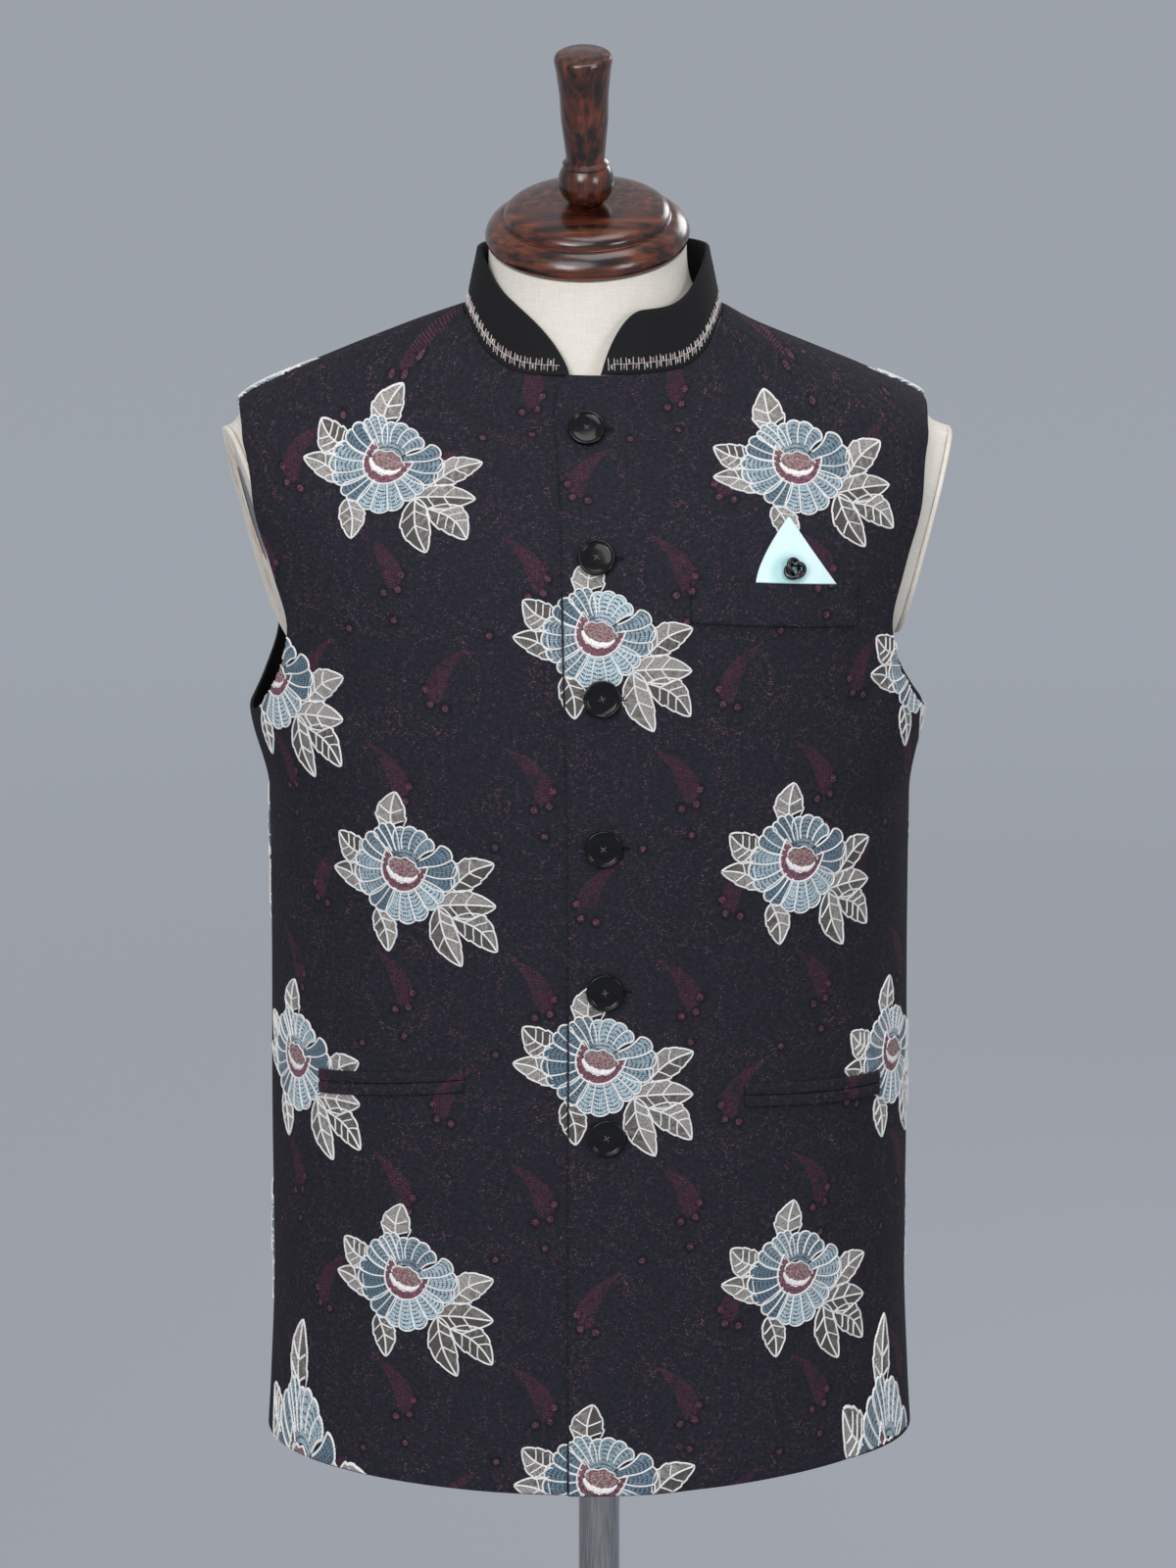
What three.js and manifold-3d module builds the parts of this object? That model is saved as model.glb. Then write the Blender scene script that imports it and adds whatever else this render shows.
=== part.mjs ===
// A stand-collar waistcoat of embroidered black jacquard, buttoned up on a limbless dress form that
// stands on a steel pole and a round base. Millimetres, +Z up. The front faces -Y, the wearer's left
// is +X, and the origin is under the middle of the base.

import * as THREE from "three";
import { mergeVertices } from "three/addons/utils/BufferGeometryUtils.js";
import Module from "manifold-3d";

const wasm = await Module();
wasm.setup();

// Cloth
const CLOTH = 2.0; // the lined cloth of the fronts and the back
const GAP = 0.3; // left between pieces that touch
const LIE = 0.35; // from a panel to a piece that lies on it
const HEM_SIDE = 756; // height of the hem at the right side seam
const HEM_TILT = 4; // how much higher it hangs at the left one
const HEM_SAG = 6; // how much lower the hem is at the centre
const UNDERARM = 1200; // height of the armhole's lowest point
const SHOULDER_TIP = 1386; // height of the shoulder seam's outer end
const NECKLINE = 1440; // height of the neckline at the shoulder seam

// Front edges and the overlap
const OVERLAP = 18; // the left front past the centre, on top
const UNDERLAP = 20; // the right front past the centre, beneath
const LAP_LIFT = CLOTH + LIE; // how far the left front stands off where it lies on the right one
const LAP_CLEAR = 12; // how far it keeps this lift beyond the right front's edge
const LAP_EASE = 30; // width in which it then comes back down to the body

// Stand collar
const COLLAR_HEIGHT = 37;
const COLLAR_WALL = 2.2;
const COLLAR_END = { left: 1, right: 18 }; // from the ring's middle to the wearer's left and right end
const COLLAR_CORNER = { left: 30, right: 52 }; // length of each rounded front corner
const COLLAR_LEAN = 0.2; // inwards for each millimetre up
const COLLAR_TURN = 3; // height in which the collar turns up out of the neckline
const COLLAR_SEAM = 0.65; // from the panels' edge to the collar, so that their flat facets clear

// Chest welt, square of satin and stud
const WELT = { left: 54, right: 152, top: 1296, fall: 8, height: 24, thick: 2.0 };
const SQUARE = { left: 92, right: 140, apex: 112, rise: 37, thick: 1.2 };
const STUD = { across: 113.5, above: 8.5, ring: 4.3, twist: 1.6, wire: 1.3 };

// Hip pockets, each with two jets
const JET = { height: 7, thick: 1.6 };

// Buttons
const BUTTON = { radius: 11, thick: 3.6, rim: 1.6, dish: 1.1 };

// Dress form
const ASIDE = -6; // the form and the waistcoat hang this far to the wearer's right of the pole
const FORM_BOTTOM = 782;
const STUB = { out: 13, low: 1226, top: 1365, fall: 10, edge: 3, full: 10 }; // the arms; edges in degrees
const PLATE = { top: 1356, topReach: 210, bottom: 1236, bottomReach: 176 };
const PLATE_YAW = { left: 0, right: 9 }; // degrees that each arm plane is turned to the front
const UNDER_ARM = { deep: 15, low: 1110, full: 1205, fade: 1228, gone: 1262 }; // the form draws in there
const PLATE_THICK = 3;

// Turned cap and finial, measured along their own axis from the top of the neck
const CAP_CENTRE = { across: -1, back: 1, height: 1479 };
const CAP_PITCH = 18; // degrees forward
const CAP_SWAY = 2; // degrees to the wearer's right
const CAP = { radius: 60.7, disc: 16, stepRadius: 49.5, step: 9 };
const BALL = { radius: 16.6, height: 25 };
const FINIAL = { topRadius: 17.2, neckRadius: 11.4, height: 70 };

// Stand
const POLE_RADIUS = 12.5;
const SOCKET = { radius: 19, height: 46, flange: 38, flangeThick: 5 };
const BASE = { radius: 190, rim: 6, dome: 12, hubRadius: 21, hubTop: 44, socketFloor: 8 };

const DEGREE = Math.PI / 180;

// Curves through short tables

function smoothColumn(at, values) {
  const last = at.length - 1;
  const run = at.slice(1).map((a, i) => a - at[i]);
  const rise = run.map((r, i) => (values[i + 1] - values[i]) / r);
  const slope = at.map((_, i) => {
    if (i === 0) return rise[0];
    if (i === last) return rise[last - 1];
    if (rise[i - 1] * rise[i] <= 0) return 0;
    const before = 2 * run[i] + run[i - 1];
    const after = run[i] + 2 * run[i - 1];
    return (before + after) / (before / rise[i - 1] + after / rise[i]);
  });
  return (where) => {
    const x = THREE.MathUtils.clamp(where, at[0], at[last]);
    let i = 0;
    while (i < last - 1 && x > at[i + 1]) i += 1;
    const t = (x - at[i]) / run[i];
    const u = 1 - t;
    return (
      (1 + 2 * t) * u * u * values[i] +
      t * u * u * run[i] * slope[i] +
      t * t * (3 - 2 * t) * values[i + 1] -
      t * t * u * run[i] * slope[i + 1]
    );
  };
}

function smoothTable(names, rows) {
  const at = rows.map((row) => row[0]);
  const table = {};
  names.slice(1).forEach((name, k) => {
    table[name] = smoothColumn(at, rows.map((row) => row[k + 1]));
  });
  return table;
}

const ease = THREE.MathUtils.smoothstep;

// Girths of the buttoned waistcoat. A ring has its height at the side, and falls by dip at the
// centre front, so that the last ring is the neckline. The powers make it squarer than an ellipse,
// and sway moves it to the wearer's left.
const BODY = smoothTable(
  ["height", "half", "front", "back", "middle", "frontPower", "backPower", "dip", "sway"],
  [
    [740, 197, 147, 127, 0, 2.15, 2.2, 0, 0],
    [790, 194, 148, 126, 0, 2.15, 2.2, 0, 0],
    [860, 191.5, 149, 125, 0, 2.15, 2.2, 0, 0],
    [960, 192, 151, 125, 0, 2.15, 2.2, 0, 0],
    [1060, 191.5, 153, 128, 0, 2.15, 2.2, 0, 0],
    [1150, 192, 154, 134, 0, 2.25, 2.2, 0, 0],
    [1200, 202, 151, 137, 0, 2.25, 2.2, 0, -1.5],
    [1250, 205, 146, 137, 0, 2.25, 2.2, 0, -2.5],
    [1300, 212, 135, 133, 1, 2.3, 2.2, 2, -3],
    [1340, 219, 117, 124, 2, 2.4, 2.15, 7, -3],
    [1365, 217, 105, 114, 3, 2.4, 2.1, 13, -3.5],
    [1386, 203, 96, 102, 4, 2.3, 2.05, 20, -4],
    [1400, 176, 90, 93, 5, 2.2, 2, 24, -5],
    [1415, 140, 84, 83, 6, 2.1, 2, 28, -5],
    [1428, 107, 79, 75, 7, 2.05, 2, 31, -4],
    [1440, 78, 75, 67, 8, 2, 2, 33, 2.5],
  ],
);
const DIP_POWER = 6; // keeps a ring's sides up while its front falls

// Armhole edges, as angles from the centre front
const ARMHOLE = smoothTable(
  ["height", "front", "back"],
  [
    [1200, 90, 90],
    [1204, 81, 98],
    [1216, 73, 104.5],
    [1238, 67.5, 109.5],
    [1262, 65.5, 111],
    [1290, 68, 110],
    [1318, 71, 107],
    [1350, 74, 104],
    [1374, 79, 99],
    [1381, 83, 95.5],
    [1386, 90, 90],
  ],
);

// How far the form's surface lies inside the waistcoat's: close at the shoulders, slimmer below
const FORM_INSET = smoothTable(
  ["height", "depth"],
  [
    [740, 20],
    [880, 22],
    [1000, 26],
    [1100, 20],
    [1180, 16],
    [1215, 20],
    [1250, 18],
    [1285, 8],
    [1315, 4.8],
    [1350, 5],
    [1386, 7.5],
    [1400, 7.5],
    [1424, 6],
    [1440, 8],
  ],
);
const SHOULDER_INSET = CLOTH + 0.9;

// The largest soft folds, as ridges and hollows along straight runs; face is -1 front, 1 back
const FOLD_COLUMNS = ["face", "x0", "z0", "x1", "z1", "width", "depth"];
const FOLDS = [
  [-1, -88, 1408, -28, 1380, 15, -2.4],
  [-1, -70, 1372, -36, 1350, 16, 1.4],
  [-1, 88, 1402, 58, 1372, 16, -2.2],
  [-1, -62, 980, -70, 790, 16, 1.8],
  [-1, -38, 930, -34, 770, 15, -1.6],
  [-1, 66, 940, 78, 775, 18, 1.6],
  [-1, 40, 900, 34, 780, 14, -1.2],
  [-1, -150, 1180, -118, 1120, 20, 1.5],
  [-1, 152, 1175, 120, 1110, 20, 1.6],
  [1, -60, 1010, -78, 790, 20, 2.0],
  [1, 58, 990, 72, 785, 20, 2.0],
  [1, 0, 1060, 4, 900, 24, -1.8],
  [1, -135, 1215, -100, 1140, 20, 1.8],
  [1, 135, 1215, 100, 1140, 20, 1.8],
].map((row) => Object.fromEntries(row.map((value, i) => [FOLD_COLUMNS[i], value])));

function foldDepth(point) {
  let depth = 0;
  for (const fold of FOLDS) {
    if (fold.face * point.y < 0) continue;
    const runX = fold.x1 - fold.x0;
    const runZ = fold.z1 - fold.z0;
    const along = ((point.x - fold.x0) * runX + (point.z - fold.z0) * runZ) / (runX ** 2 + runZ ** 2);
    const t = THREE.MathUtils.clamp(along, 0, 1);
    const off = Math.hypot(point.x - fold.x0 - t * runX, point.z - fold.z0 - t * runZ);
    depth += fold.depth * Math.exp(-((off / fold.width) ** 2));
  }
  return depth;
}

// The waistcoat's outer surface at an angle from the centre front, positive to the wearer's left

function bodyPoint(angle, height) {
  const side = Math.abs(Math.sin(angle));
  const ahead = Math.cos(angle);
  const depth = ahead > 0 ? BODY.front(height) : BODY.back(height);
  const power = ahead > 0 ? BODY.frontPower(height) : BODY.backPower(height);
  const girth = (side / BODY.half(height)) ** power + (Math.abs(ahead) / depth) ** power;
  const reach = girth ** (-1 / power);
  const fall = ahead > 0 ? BODY.dip(height) * (1 - side ** DIP_POWER) : 0;
  return new THREE.Vector3(
    BODY.sway(height) + reach * Math.sin(angle),
    BODY.middle(height) - reach * ahead,
    height - fall,
  );
}

function bodyFrame(angle, height) {
  const turn = 0.004;
  const step = 0.5;
  const above = Math.min(height + step, NECKLINE);
  const across = bodyPoint(angle + turn, height).sub(bodyPoint(angle - turn, height)).normalize();
  const up = bodyPoint(angle, above).sub(bodyPoint(angle, above - 2 * step)).normalize();
  return { at: bodyPoint(angle, height), across, up, out: across.clone().cross(up).normalize() };
}

// Places round a ring are spread evenly by turn, which bunches them where the shoulder is sharp
function angleAt(turn, height) {
  const depth = Math.cos(turn) > 0 ? BODY.front(height) : BODY.back(height);
  return Math.atan2(BODY.half(height) * Math.sin(turn), depth * Math.cos(turn));
}

function turnAt(angle, height) {
  const depth = Math.cos(angle) > 0 ? BODY.front(height) : BODY.back(height);
  return Math.atan2(Math.sin(angle) / BODY.half(height), Math.cos(angle) / depth);
}

function lapLift(x) {
  const from = UNDERLAP + LAP_CLEAR;
  return LAP_LIFT * (1 - ease(x, from, from + LAP_EASE));
}

function clothPoint(onLeft, angle, height, out) {
  const frame = bodyFrame(angle, height);
  const lift = out + foldDepth(frame.at) + (onLeft ? lapLift(frame.at.x) : 0);
  return frame.at.addScaledVector(frame.out, lift);
}

// The angle and height of the surface point that has this x and z on the front
function findOnFront(x, z) {
  let angle = Math.asin(THREE.MathUtils.clamp(x / BODY.half(z), -0.9, 0.9));
  let height = z;
  for (let turn = 0; turn < 40; turn += 1) {
    const at = bodyPoint(angle, height);
    const rate = (bodyPoint(angle + 0.01, height).x - at.x) / 0.01;
    angle += (x - at.x) / rate;
    height += z - at.z;
  }
  return { angle, height };
}

// Closed walls between two grids of points

function wallGeometry(columns, rows, outer, inner) {
  const positions = [];
  const put = (point) => positions.push(point.x, point.y, point.z);
  for (const sheet of [outer, inner]) {
    for (let i = 0; i <= rows; i += 1) {
      for (let j = 0; j <= columns; j += 1) put(sheet(j, i));
    }
  }
  const wide = columns + 1;
  const half = wide * (rows + 1);
  const index = [];
  const quad = (a, b, c, d) => index.push(a, b, c, a, c, d);
  for (let i = 0; i < rows; i += 1) {
    for (let j = 0; j < columns; j += 1) {
      const k = i * wide + j;
      quad(k, k + 1, k + 1 + wide, k + wide);
      quad(half + k, half + k + wide, half + k + 1 + wide, half + k + 1);
    }
    const left = i * wide;
    const right = left + columns;
    quad(left, left + wide, half + left + wide, half + left);
    quad(right, half + right, half + right + wide, right + wide);
  }
  for (let j = 0; j < columns; j += 1) {
    const top = rows * wide + j;
    quad(j, half + j, half + j + 1, j + 1);
    quad(top, top + 1, half + top + 1, half + top);
  }
  const geometry = new THREE.BufferGeometry();
  geometry.setAttribute("position", new THREE.Float32BufferAttribute(positions, 3));
  geometry.setIndex(index);
  return geometry;
}

function solidOf(geometry) {
  const bare = geometry.clone();
  bare.deleteAttribute("normal");
  bare.deleteAttribute("uv");
  const merged = mergeVertices(bare, 1e-4);
  return new wasm.Manifold(
    new wasm.Mesh({
      numProp: 3,
      vertProperties: merged.attributes.position.array,
      triVerts: new Uint32Array(merged.index.array),
    }),
  );
}

function geometryOf(solid) {
  const mesh = solid.getMesh();
  const geometry = new THREE.BufferGeometry();
  geometry.setAttribute("position", new THREE.BufferAttribute(mesh.vertProperties, 3));
  geometry.setIndex(new THREE.BufferAttribute(mesh.triVerts, 1));
  return geometry;
}

function turned(profile, segments) {
  return new THREE.LatheGeometry(profile.map(([r, z]) => new THREE.Vector2(r, z)), segments).rotateX(
    Math.PI / 2,
  );
}

// Finishes

const finish = (color, roughness, metalness) =>
  new THREE.MeshStandardMaterial({ color, roughness, metalness });
const jacquard = finish(0x26252b, 0.85, 0);
const blackCloth = finish(0x1d1d22, 0.9, 0);
const satin = finish(0xcfe9ec, 0.4, 0);
const gunmetal = finish(0x3a3a3e, 0.3, 1);
const blackHorn = finish(0x0c0c0e, 0.25, 0);
const linen = finish(0xe1dcd0, 0.9, 0);
const darkWood = finish(0x3a1d12, 0.3, 0);
const steel = finish(0xb9bbbe, 0.35, 1);
const paintedBase = finish(0xd8d6d2, 0.5, 0);

const waistcoatOnForm = new THREE.Group();
const dressed = new THREE.Group(); // all but the stand
dressed.position.x = ASIDE;
waistcoatOnForm.add(dressed);

function add(name, geometry, material, parent = dressed) {
  const mesh = new THREE.Mesh(geometry, material);
  mesh.name = name;
  parent.add(mesh);
  return mesh;
}

// Fronts and back

const ROW_HEIGHTS = [
  HEM_SIDE, 785, 835, 890, 945, 1000, 1055, 1105, 1145, 1178, UNDERARM, 1210, 1229, 1256, 1284, 1312,
  1338, 1360, 1376, 1382, SHOULDER_TIP, 1394, 1405, 1418, 1430, NECKLINE,
];
const OVERLAP_STATIONS = [-OVERLAP, 0, UNDERLAP, UNDERLAP + LAP_CLEAR, 42, 52, 62];
const UNDERLAP_STATIONS = [-UNDERLAP, 0, OVERLAP, 32, 42, 52, 62];
const SIDE_COLUMNS = 10;
const BACK_COLUMNS = 28;

function hemHeight(angle) {
  const toLeft = Math.max(0, Math.sin(angle));
  return HEM_SIDE + HEM_TILT * toLeft ** 2 - HEM_SAG * Math.cos(angle) ** 2;
}

function armAngle(height, face) {
  const inArmhole = height > UNDERARM && height < SHOULDER_TIP;
  if (inArmhole) return ARMHOLE[face](height) * DEGREE;
  const seam = (GAP / 2 + 0.02) / BODY.half(height);
  return Math.PI / 2 + (face === "front" ? -seam : seam);
}

// Turns of a front's columns: some at set distances from the centre, the rest evenly to the side
function frontTurns(stations, height) {
  const near = stations.map((x) => turnAt(Math.asin(x / BODY.front(height)), height));
  const last = near[near.length - 1];
  const side = turnAt(armAngle(height, "front"), height);
  for (let j = 1; j <= SIDE_COLUMNS; j += 1) {
    near.push(THREE.MathUtils.lerp(last, side, j / SIDE_COLUMNS));
  }
  return near;
}

function backTurns(height) {
  const from = turnAt(armAngle(height, "back"), height);
  const to = 2 * Math.PI - from;
  const turns = [];
  for (let j = 0; j <= BACK_COLUMNS; j += 1) {
    turns.push(THREE.MathUtils.lerp(from, to, j / BACK_COLUMNS));
  }
  return turns;
}

function panel(turnsAt, onLeft) {
  const turns = ROW_HEIGHTS.map(turnsAt);
  const grid = (out) => (column, row) => {
    const height = ROW_HEIGHTS[row];
    const angle = angleAt(turns[row][column], height);
    return clothPoint(onLeft, angle, row === 0 ? hemHeight(angle) : height, out);
  };
  return wallGeometry(turns[0].length - 1, turns.length - 1, grid(0), grid(-CLOTH));
}

const frontLeft = panel((height) => frontTurns(OVERLAP_STATIONS, height), true);
const frontRight = panel(
  (height) => frontTurns(UNDERLAP_STATIONS, height).map((turn) => -turn).reverse(),
  false,
);
const back = panel(backTurns, false);
add("front_left", frontLeft, jacquard);
add("front_right", frontRight, jacquard);
add("back", back, jacquard);

// Stand collar, sewn to the neckline and turned up out of it, with rounded front corners

const COLLAR_COLUMNS = 44;
const COLLAR_ROWS = [0, 0.07, 0.16, 0.36, 0.66, 1];

function collarHeight(fromEnd, corner) {
  const inCorner = 1 - Math.min(fromEnd, corner) / corner;
  return Math.max(1.2, COLLAR_HEIGHT * (1 - inCorner ** 2) ** 0.75);
}

function collarPoint(column, row, out) {
  const first = Math.asin(COLLAR_END.left / BODY.front(NECKLINE));
  const last = 2 * Math.PI - Math.asin(COLLAR_END.right / BODY.front(NECKLINE));
  const share = column / COLLAR_COLUMNS;
  const bunched = share - 0.1 * Math.sin(2 * Math.PI * share); // closer together at the front ends
  const angle = THREE.MathUtils.lerp(first, last, bunched);
  const frame = bodyFrame(angle, NECKLINE);
  const lift = foldDepth(frame.at) + (frame.at.x > 0 && frame.at.y < 0 ? lapLift(frame.at.x) : 0);
  const around = Math.min(bunched, 1 - bunched) * 2 * Math.PI * BODY.front(NECKLINE);
  const corner = bunched < 0.5 ? COLLAR_CORNER.left : COLLAR_CORNER.right;
  const centre = new THREE.Vector3(BODY.sway(NECKLINE), BODY.middle(NECKLINE), frame.at.z);
  const inwards = centre.sub(frame.at).normalize();
  const standing = new THREE.Vector3(0, 0, 1).addScaledVector(inwards, COLLAR_LEAN).normalize();
  const reach = collarHeight(around, corner) * COLLAR_ROWS[row];
  const point = frame.at.addScaledVector(frame.out, lift).addScaledVector(frame.up, COLLAR_SEAM);
  const heading = frame.up.clone();
  const steps = 12;
  for (let i = 0; i < steps; i += 1) {
    const done = (reach * (i + 0.5)) / steps;
    heading.copy(frame.up).lerp(standing, ease(done, 0, COLLAR_TURN)).normalize();
    point.addScaledVector(heading, reach / steps);
  }
  const normal = frame.across.clone().cross(heading).normalize();
  return point.addScaledVector(normal, out);
}

add(
  "collar",
  wallGeometry(
    COLLAR_COLUMNS,
    COLLAR_ROWS.length - 1,
    (column, row) => collarPoint(column, row, 0),
    (column, row) => collarPoint(column, row, -COLLAR_WALL),
  ),
  blackCloth,
);

// Pieces that lie on a front: the welt, the square and the jets

function laidOn(onLeft, columns, rows, place, from, thick) {
  const grid = (out) => (column, row) => {
    const { x, z } = place(column / columns, row / rows);
    const { angle, height } = findOnFront(x, z);
    return clothPoint(onLeft, angle, height, out);
  };
  return wallGeometry(columns, rows, grid(from + thick), grid(from));
}

const weltTop = (x) => WELT.top - (WELT.fall * (x - WELT.left)) / (WELT.right - WELT.left);
const weltPlace = (across, up) => {
  const x = THREE.MathUtils.lerp(WELT.left, WELT.right, across);
  return { x, z: weltTop(x) - WELT.height * (1 - up) };
};
add("chest_welt", laidOn(true, 14, 3, weltPlace, LIE, WELT.thick), jacquard);

const squarePlace = (across, up) => {
  const left = THREE.MathUtils.lerp(SQUARE.left, SQUARE.apex - 1, up ** 1.5);
  const right = THREE.MathUtils.lerp(SQUARE.right, SQUARE.apex + 1, up);
  const x = THREE.MathUtils.lerp(left, right, across);
  const foot = weltTop(x) + GAP + 0.2;
  return { x, z: foot + SQUARE.rise * up };
};
add("pocket_square", laidOn(true, 8, 8, squarePlace, LIE, SQUARE.thick), satin);

class StudWire extends THREE.Curve {
  getPoint(t, target = new THREE.Vector3()) {
    const turn = 2 * Math.PI * t;
    const ring = STUD.ring + STUD.twist * Math.cos(3 * turn);
    return target.set(
      ring * Math.cos(2 * turn),
      ring * Math.sin(2 * turn),
      STUD.twist * Math.sin(3 * turn),
    );
  }
}

// Turns a geometry made about +Z to stand out of the front at x, z, this far from its surface
function seatOnFront(geometry, onLeft, x, z, out) {
  const { angle, height } = findOnFront(x, z);
  const turn = new THREE.Quaternion().setFromUnitVectors(
    new THREE.Vector3(0, 0, 1),
    bodyFrame(angle, height).out,
  );
  const seat = clothPoint(onLeft, angle, height, out);
  return geometry.applyMatrix4(new THREE.Matrix4().compose(seat, turn, new THREE.Vector3(1, 1, 1)));
}

const studBack = STUD.twist + STUD.wire; // half its thickness
add(
  "knot_stud",
  seatOnFront(
    new THREE.TubeGeometry(new StudWire(), 60, STUD.wire, 6, true),
    true,
    STUD.across,
    weltTop(STUD.across) + STUD.above,
    LIE + SQUARE.thick + GAP + studBack,
  ),
  gunmetal,
);

const HIP_POCKETS = [
  { side: "left", onLeft: true, x0: 86, x1: 169, top0: 998, top1: 991 },
  { side: "right", onLeft: false, x0: -163, x1: -79, top0: 997, top1: 1009 },
];
for (const pocket of HIP_POCKETS) {
  for (const [jet, drop] of [
    ["upper", 0],
    ["lower", JET.height + GAP],
  ]) {
    const place = (across, up) => ({
      x: THREE.MathUtils.lerp(pocket.x0, pocket.x1, across),
      z: THREE.MathUtils.lerp(pocket.top0, pocket.top1, across) - drop - JET.height * (1 - up),
    });
    add(
      `hip_jet_${pocket.side}_${jet}`,
      laidOn(pocket.onLeft, 14, 2, place, LIE, JET.thick),
      jacquard,
    );
  }
}

// Buttons down the centre front, each a dished disc with a raised rim

const BUTTON_PLACES = [
  { x: -5, z: 1377 },
  { x: -1, z: 1308 },
  { x: 1.5, z: 1229.5 },
  { x: 2, z: 1142.5 },
  { x: 3, z: 1057 },
  { x: 4, z: 969.5 },
];

function buttonGeometry() {
  const { radius, thick, rim, dish } = BUTTON;
  return turned(
    [
      [0, 0],
      [radius - 1.6, 0],
      [radius, 1.6],
      [radius, thick - 0.6],
      [radius - 0.6, thick],
      [radius - rim, thick],
      [radius - rim - 1.2, thick - dish],
      [0, thick - dish],
    ],
    22,
  );
}

BUTTON_PLACES.forEach(({ x, z }, i) => {
  add(`button_${i + 1}`, seatOnFront(buttonGeometry(), true, x, z, LIE + 0.25), blackHorn);
});

// The form: the body's surface brought in under the cloth, closed below, with a neck that rises to
// the cap's tilted plane, and flat at the arms

const FORM_COLUMNS = 40;
const FORM_HEIGHTS = [
  FORM_BOTTOM, 840, 920, 1000, 1080, 1135, 1170, 1200, 1224, 1234, 1250, 1284, 1312, 1338, 1356, 1365, 1370,
  1376, 1382,
  SHOULDER_TIP, 1394, 1405, 1418, 1430, NECKLINE,
];
const NECK_STEPS = [0.08, 0.2, 0.4, 0.7, 1];
const capTurn = new THREE.Euler(CAP_PITCH * DEGREE, -CAP_SWAY * DEGREE, 0);
const capCentre = new THREE.Vector3(CAP_CENTRE.across, CAP_CENTRE.back, CAP_CENTRE.height);

function formInset(angle, height) {
  const onShoulder = ease(height, 1366, 1400) * (1 - ease(height, 1424, NECKLINE));
  const drawnIn = ease(height, UNDER_ARM.low, UNDER_ARM.full) * (1 - ease(height, UNDER_ARM.fade, UNDER_ARM.gone));
  const atSide = Math.abs(Math.sin(angle)) ** 4;
  const depth = FORM_INSET.depth(height) + UNDER_ARM.deep * drawnIn * atSide;
  return THREE.MathUtils.lerp(depth, SHOULDER_INSET, atSide * onShoulder);
}

// How far the arm stubs stand out through the armholes, before they are cut off
function armStub(angle, height) {
  const turned = Math.abs(Math.atan2(Math.sin(angle), Math.cos(angle))) / DEGREE;
  const inside = Math.min(turned - ARMHOLE.front(height), ARMHOLE.back(height) - turned);
  const upright = ease(height, STUB.low, STUB.low + 40) * (1 - ease(height, STUB.top, STUB.top + STUB.fall));
  return STUB.out * ease(inside, STUB.edge, STUB.full) * upright;
}

function formPoint(angle, height) {
  const frame = bodyFrame(angle, height);
  const point = frame.at.addScaledVector(frame.out, -formInset(angle, height));
  point.x += Math.sign(Math.sin(angle)) * armStub(angle, height);
  if (height === FORM_BOTTOM) point.z = FORM_BOTTOM;
  return point;
}

function neckPoint(angle, step) {
  const foot = formPoint(angle, NECKLINE);
  const top = new THREE.Vector3(
    (CAP.radius - 2) * Math.sin(angle),
    -(CAP.radius - 2) * Math.cos(angle),
    -GAP,
  )
    .applyEuler(capTurn)
    .add(capCentre);
  const inwards = 1 - (1 - step) ** 3;
  return new THREE.Vector3(
    THREE.MathUtils.lerp(foot.x, top.x, inwards),
    THREE.MathUtils.lerp(foot.y, top.y, inwards),
    THREE.MathUtils.lerp(foot.z, top.z, step),
  );
}

function formGeometry() {
  const rings = [
    ...FORM_HEIGHTS.map((height) => (turn) => formPoint(angleAt(turn, height), height)),
    ...NECK_STEPS.map((step) => (turn) => neckPoint(angleAt(turn, NECKLINE), step)),
  ];
  const positions = [];
  for (const ring of rings) {
    for (let j = 0; j < FORM_COLUMNS; j += 1) {
      const point = ring((2 * Math.PI * j) / FORM_COLUMNS);
      positions.push(point.x, point.y, point.z);
    }
  }
  const index = [];
  for (let i = 0; i < rings.length - 1; i += 1) {
    for (let j = 0; j < FORM_COLUMNS; j += 1) {
      const a = i * FORM_COLUMNS + j;
      const b = i * FORM_COLUMNS + ((j + 1) % FORM_COLUMNS);
      index.push(a, b, b + FORM_COLUMNS, a, b + FORM_COLUMNS, a + FORM_COLUMNS);
    }
  }
  const lid = (rows, flip) => {
    const centre = positions.length / 3;
    const middle = new THREE.Vector3();
    for (let j = 0; j < FORM_COLUMNS; j += 1) {
      middle.add(new THREE.Vector3().fromArray(positions, 3 * (rows * FORM_COLUMNS + j)));
    }
    middle.divideScalar(FORM_COLUMNS);
    positions.push(middle.x, middle.y, middle.z);
    for (let j = 0; j < FORM_COLUMNS; j += 1) {
      const a = rows * FORM_COLUMNS + j;
      const b = rows * FORM_COLUMNS + ((j + 1) % FORM_COLUMNS);
      if (flip) index.push(a, centre, b);
      else index.push(a, b, centre);
    }
  };
  lid(0, true);
  lid(rings.length - 1, false);
  const geometry = new THREE.BufferGeometry();
  geometry.setAttribute("position", new THREE.Float32BufferAttribute(positions, 3));
  geometry.setIndex(index);
  return geometry;
}

// The slanted plane at each arm, through the plate's upper and lower ends
const plateSlope = Math.atan2(PLATE.topReach - PLATE.bottomReach, PLATE.top - PLATE.bottom);
const plateMiddle = {
  reach: (PLATE.topReach + PLATE.bottomReach) / 2,
  height: (PLATE.top + PLATE.bottom) / 2,
};

function armPlane(geometry, side) {
  return geometry
    .rotateY(plateSlope)
    .rotateZ(-(side > 0 ? PLATE_YAW.left : PLATE_YAW.right) * DEGREE)
    .translate(plateMiddle.reach, 0, plateMiddle.height)
    .scale(side, 1, 1);
}

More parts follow.
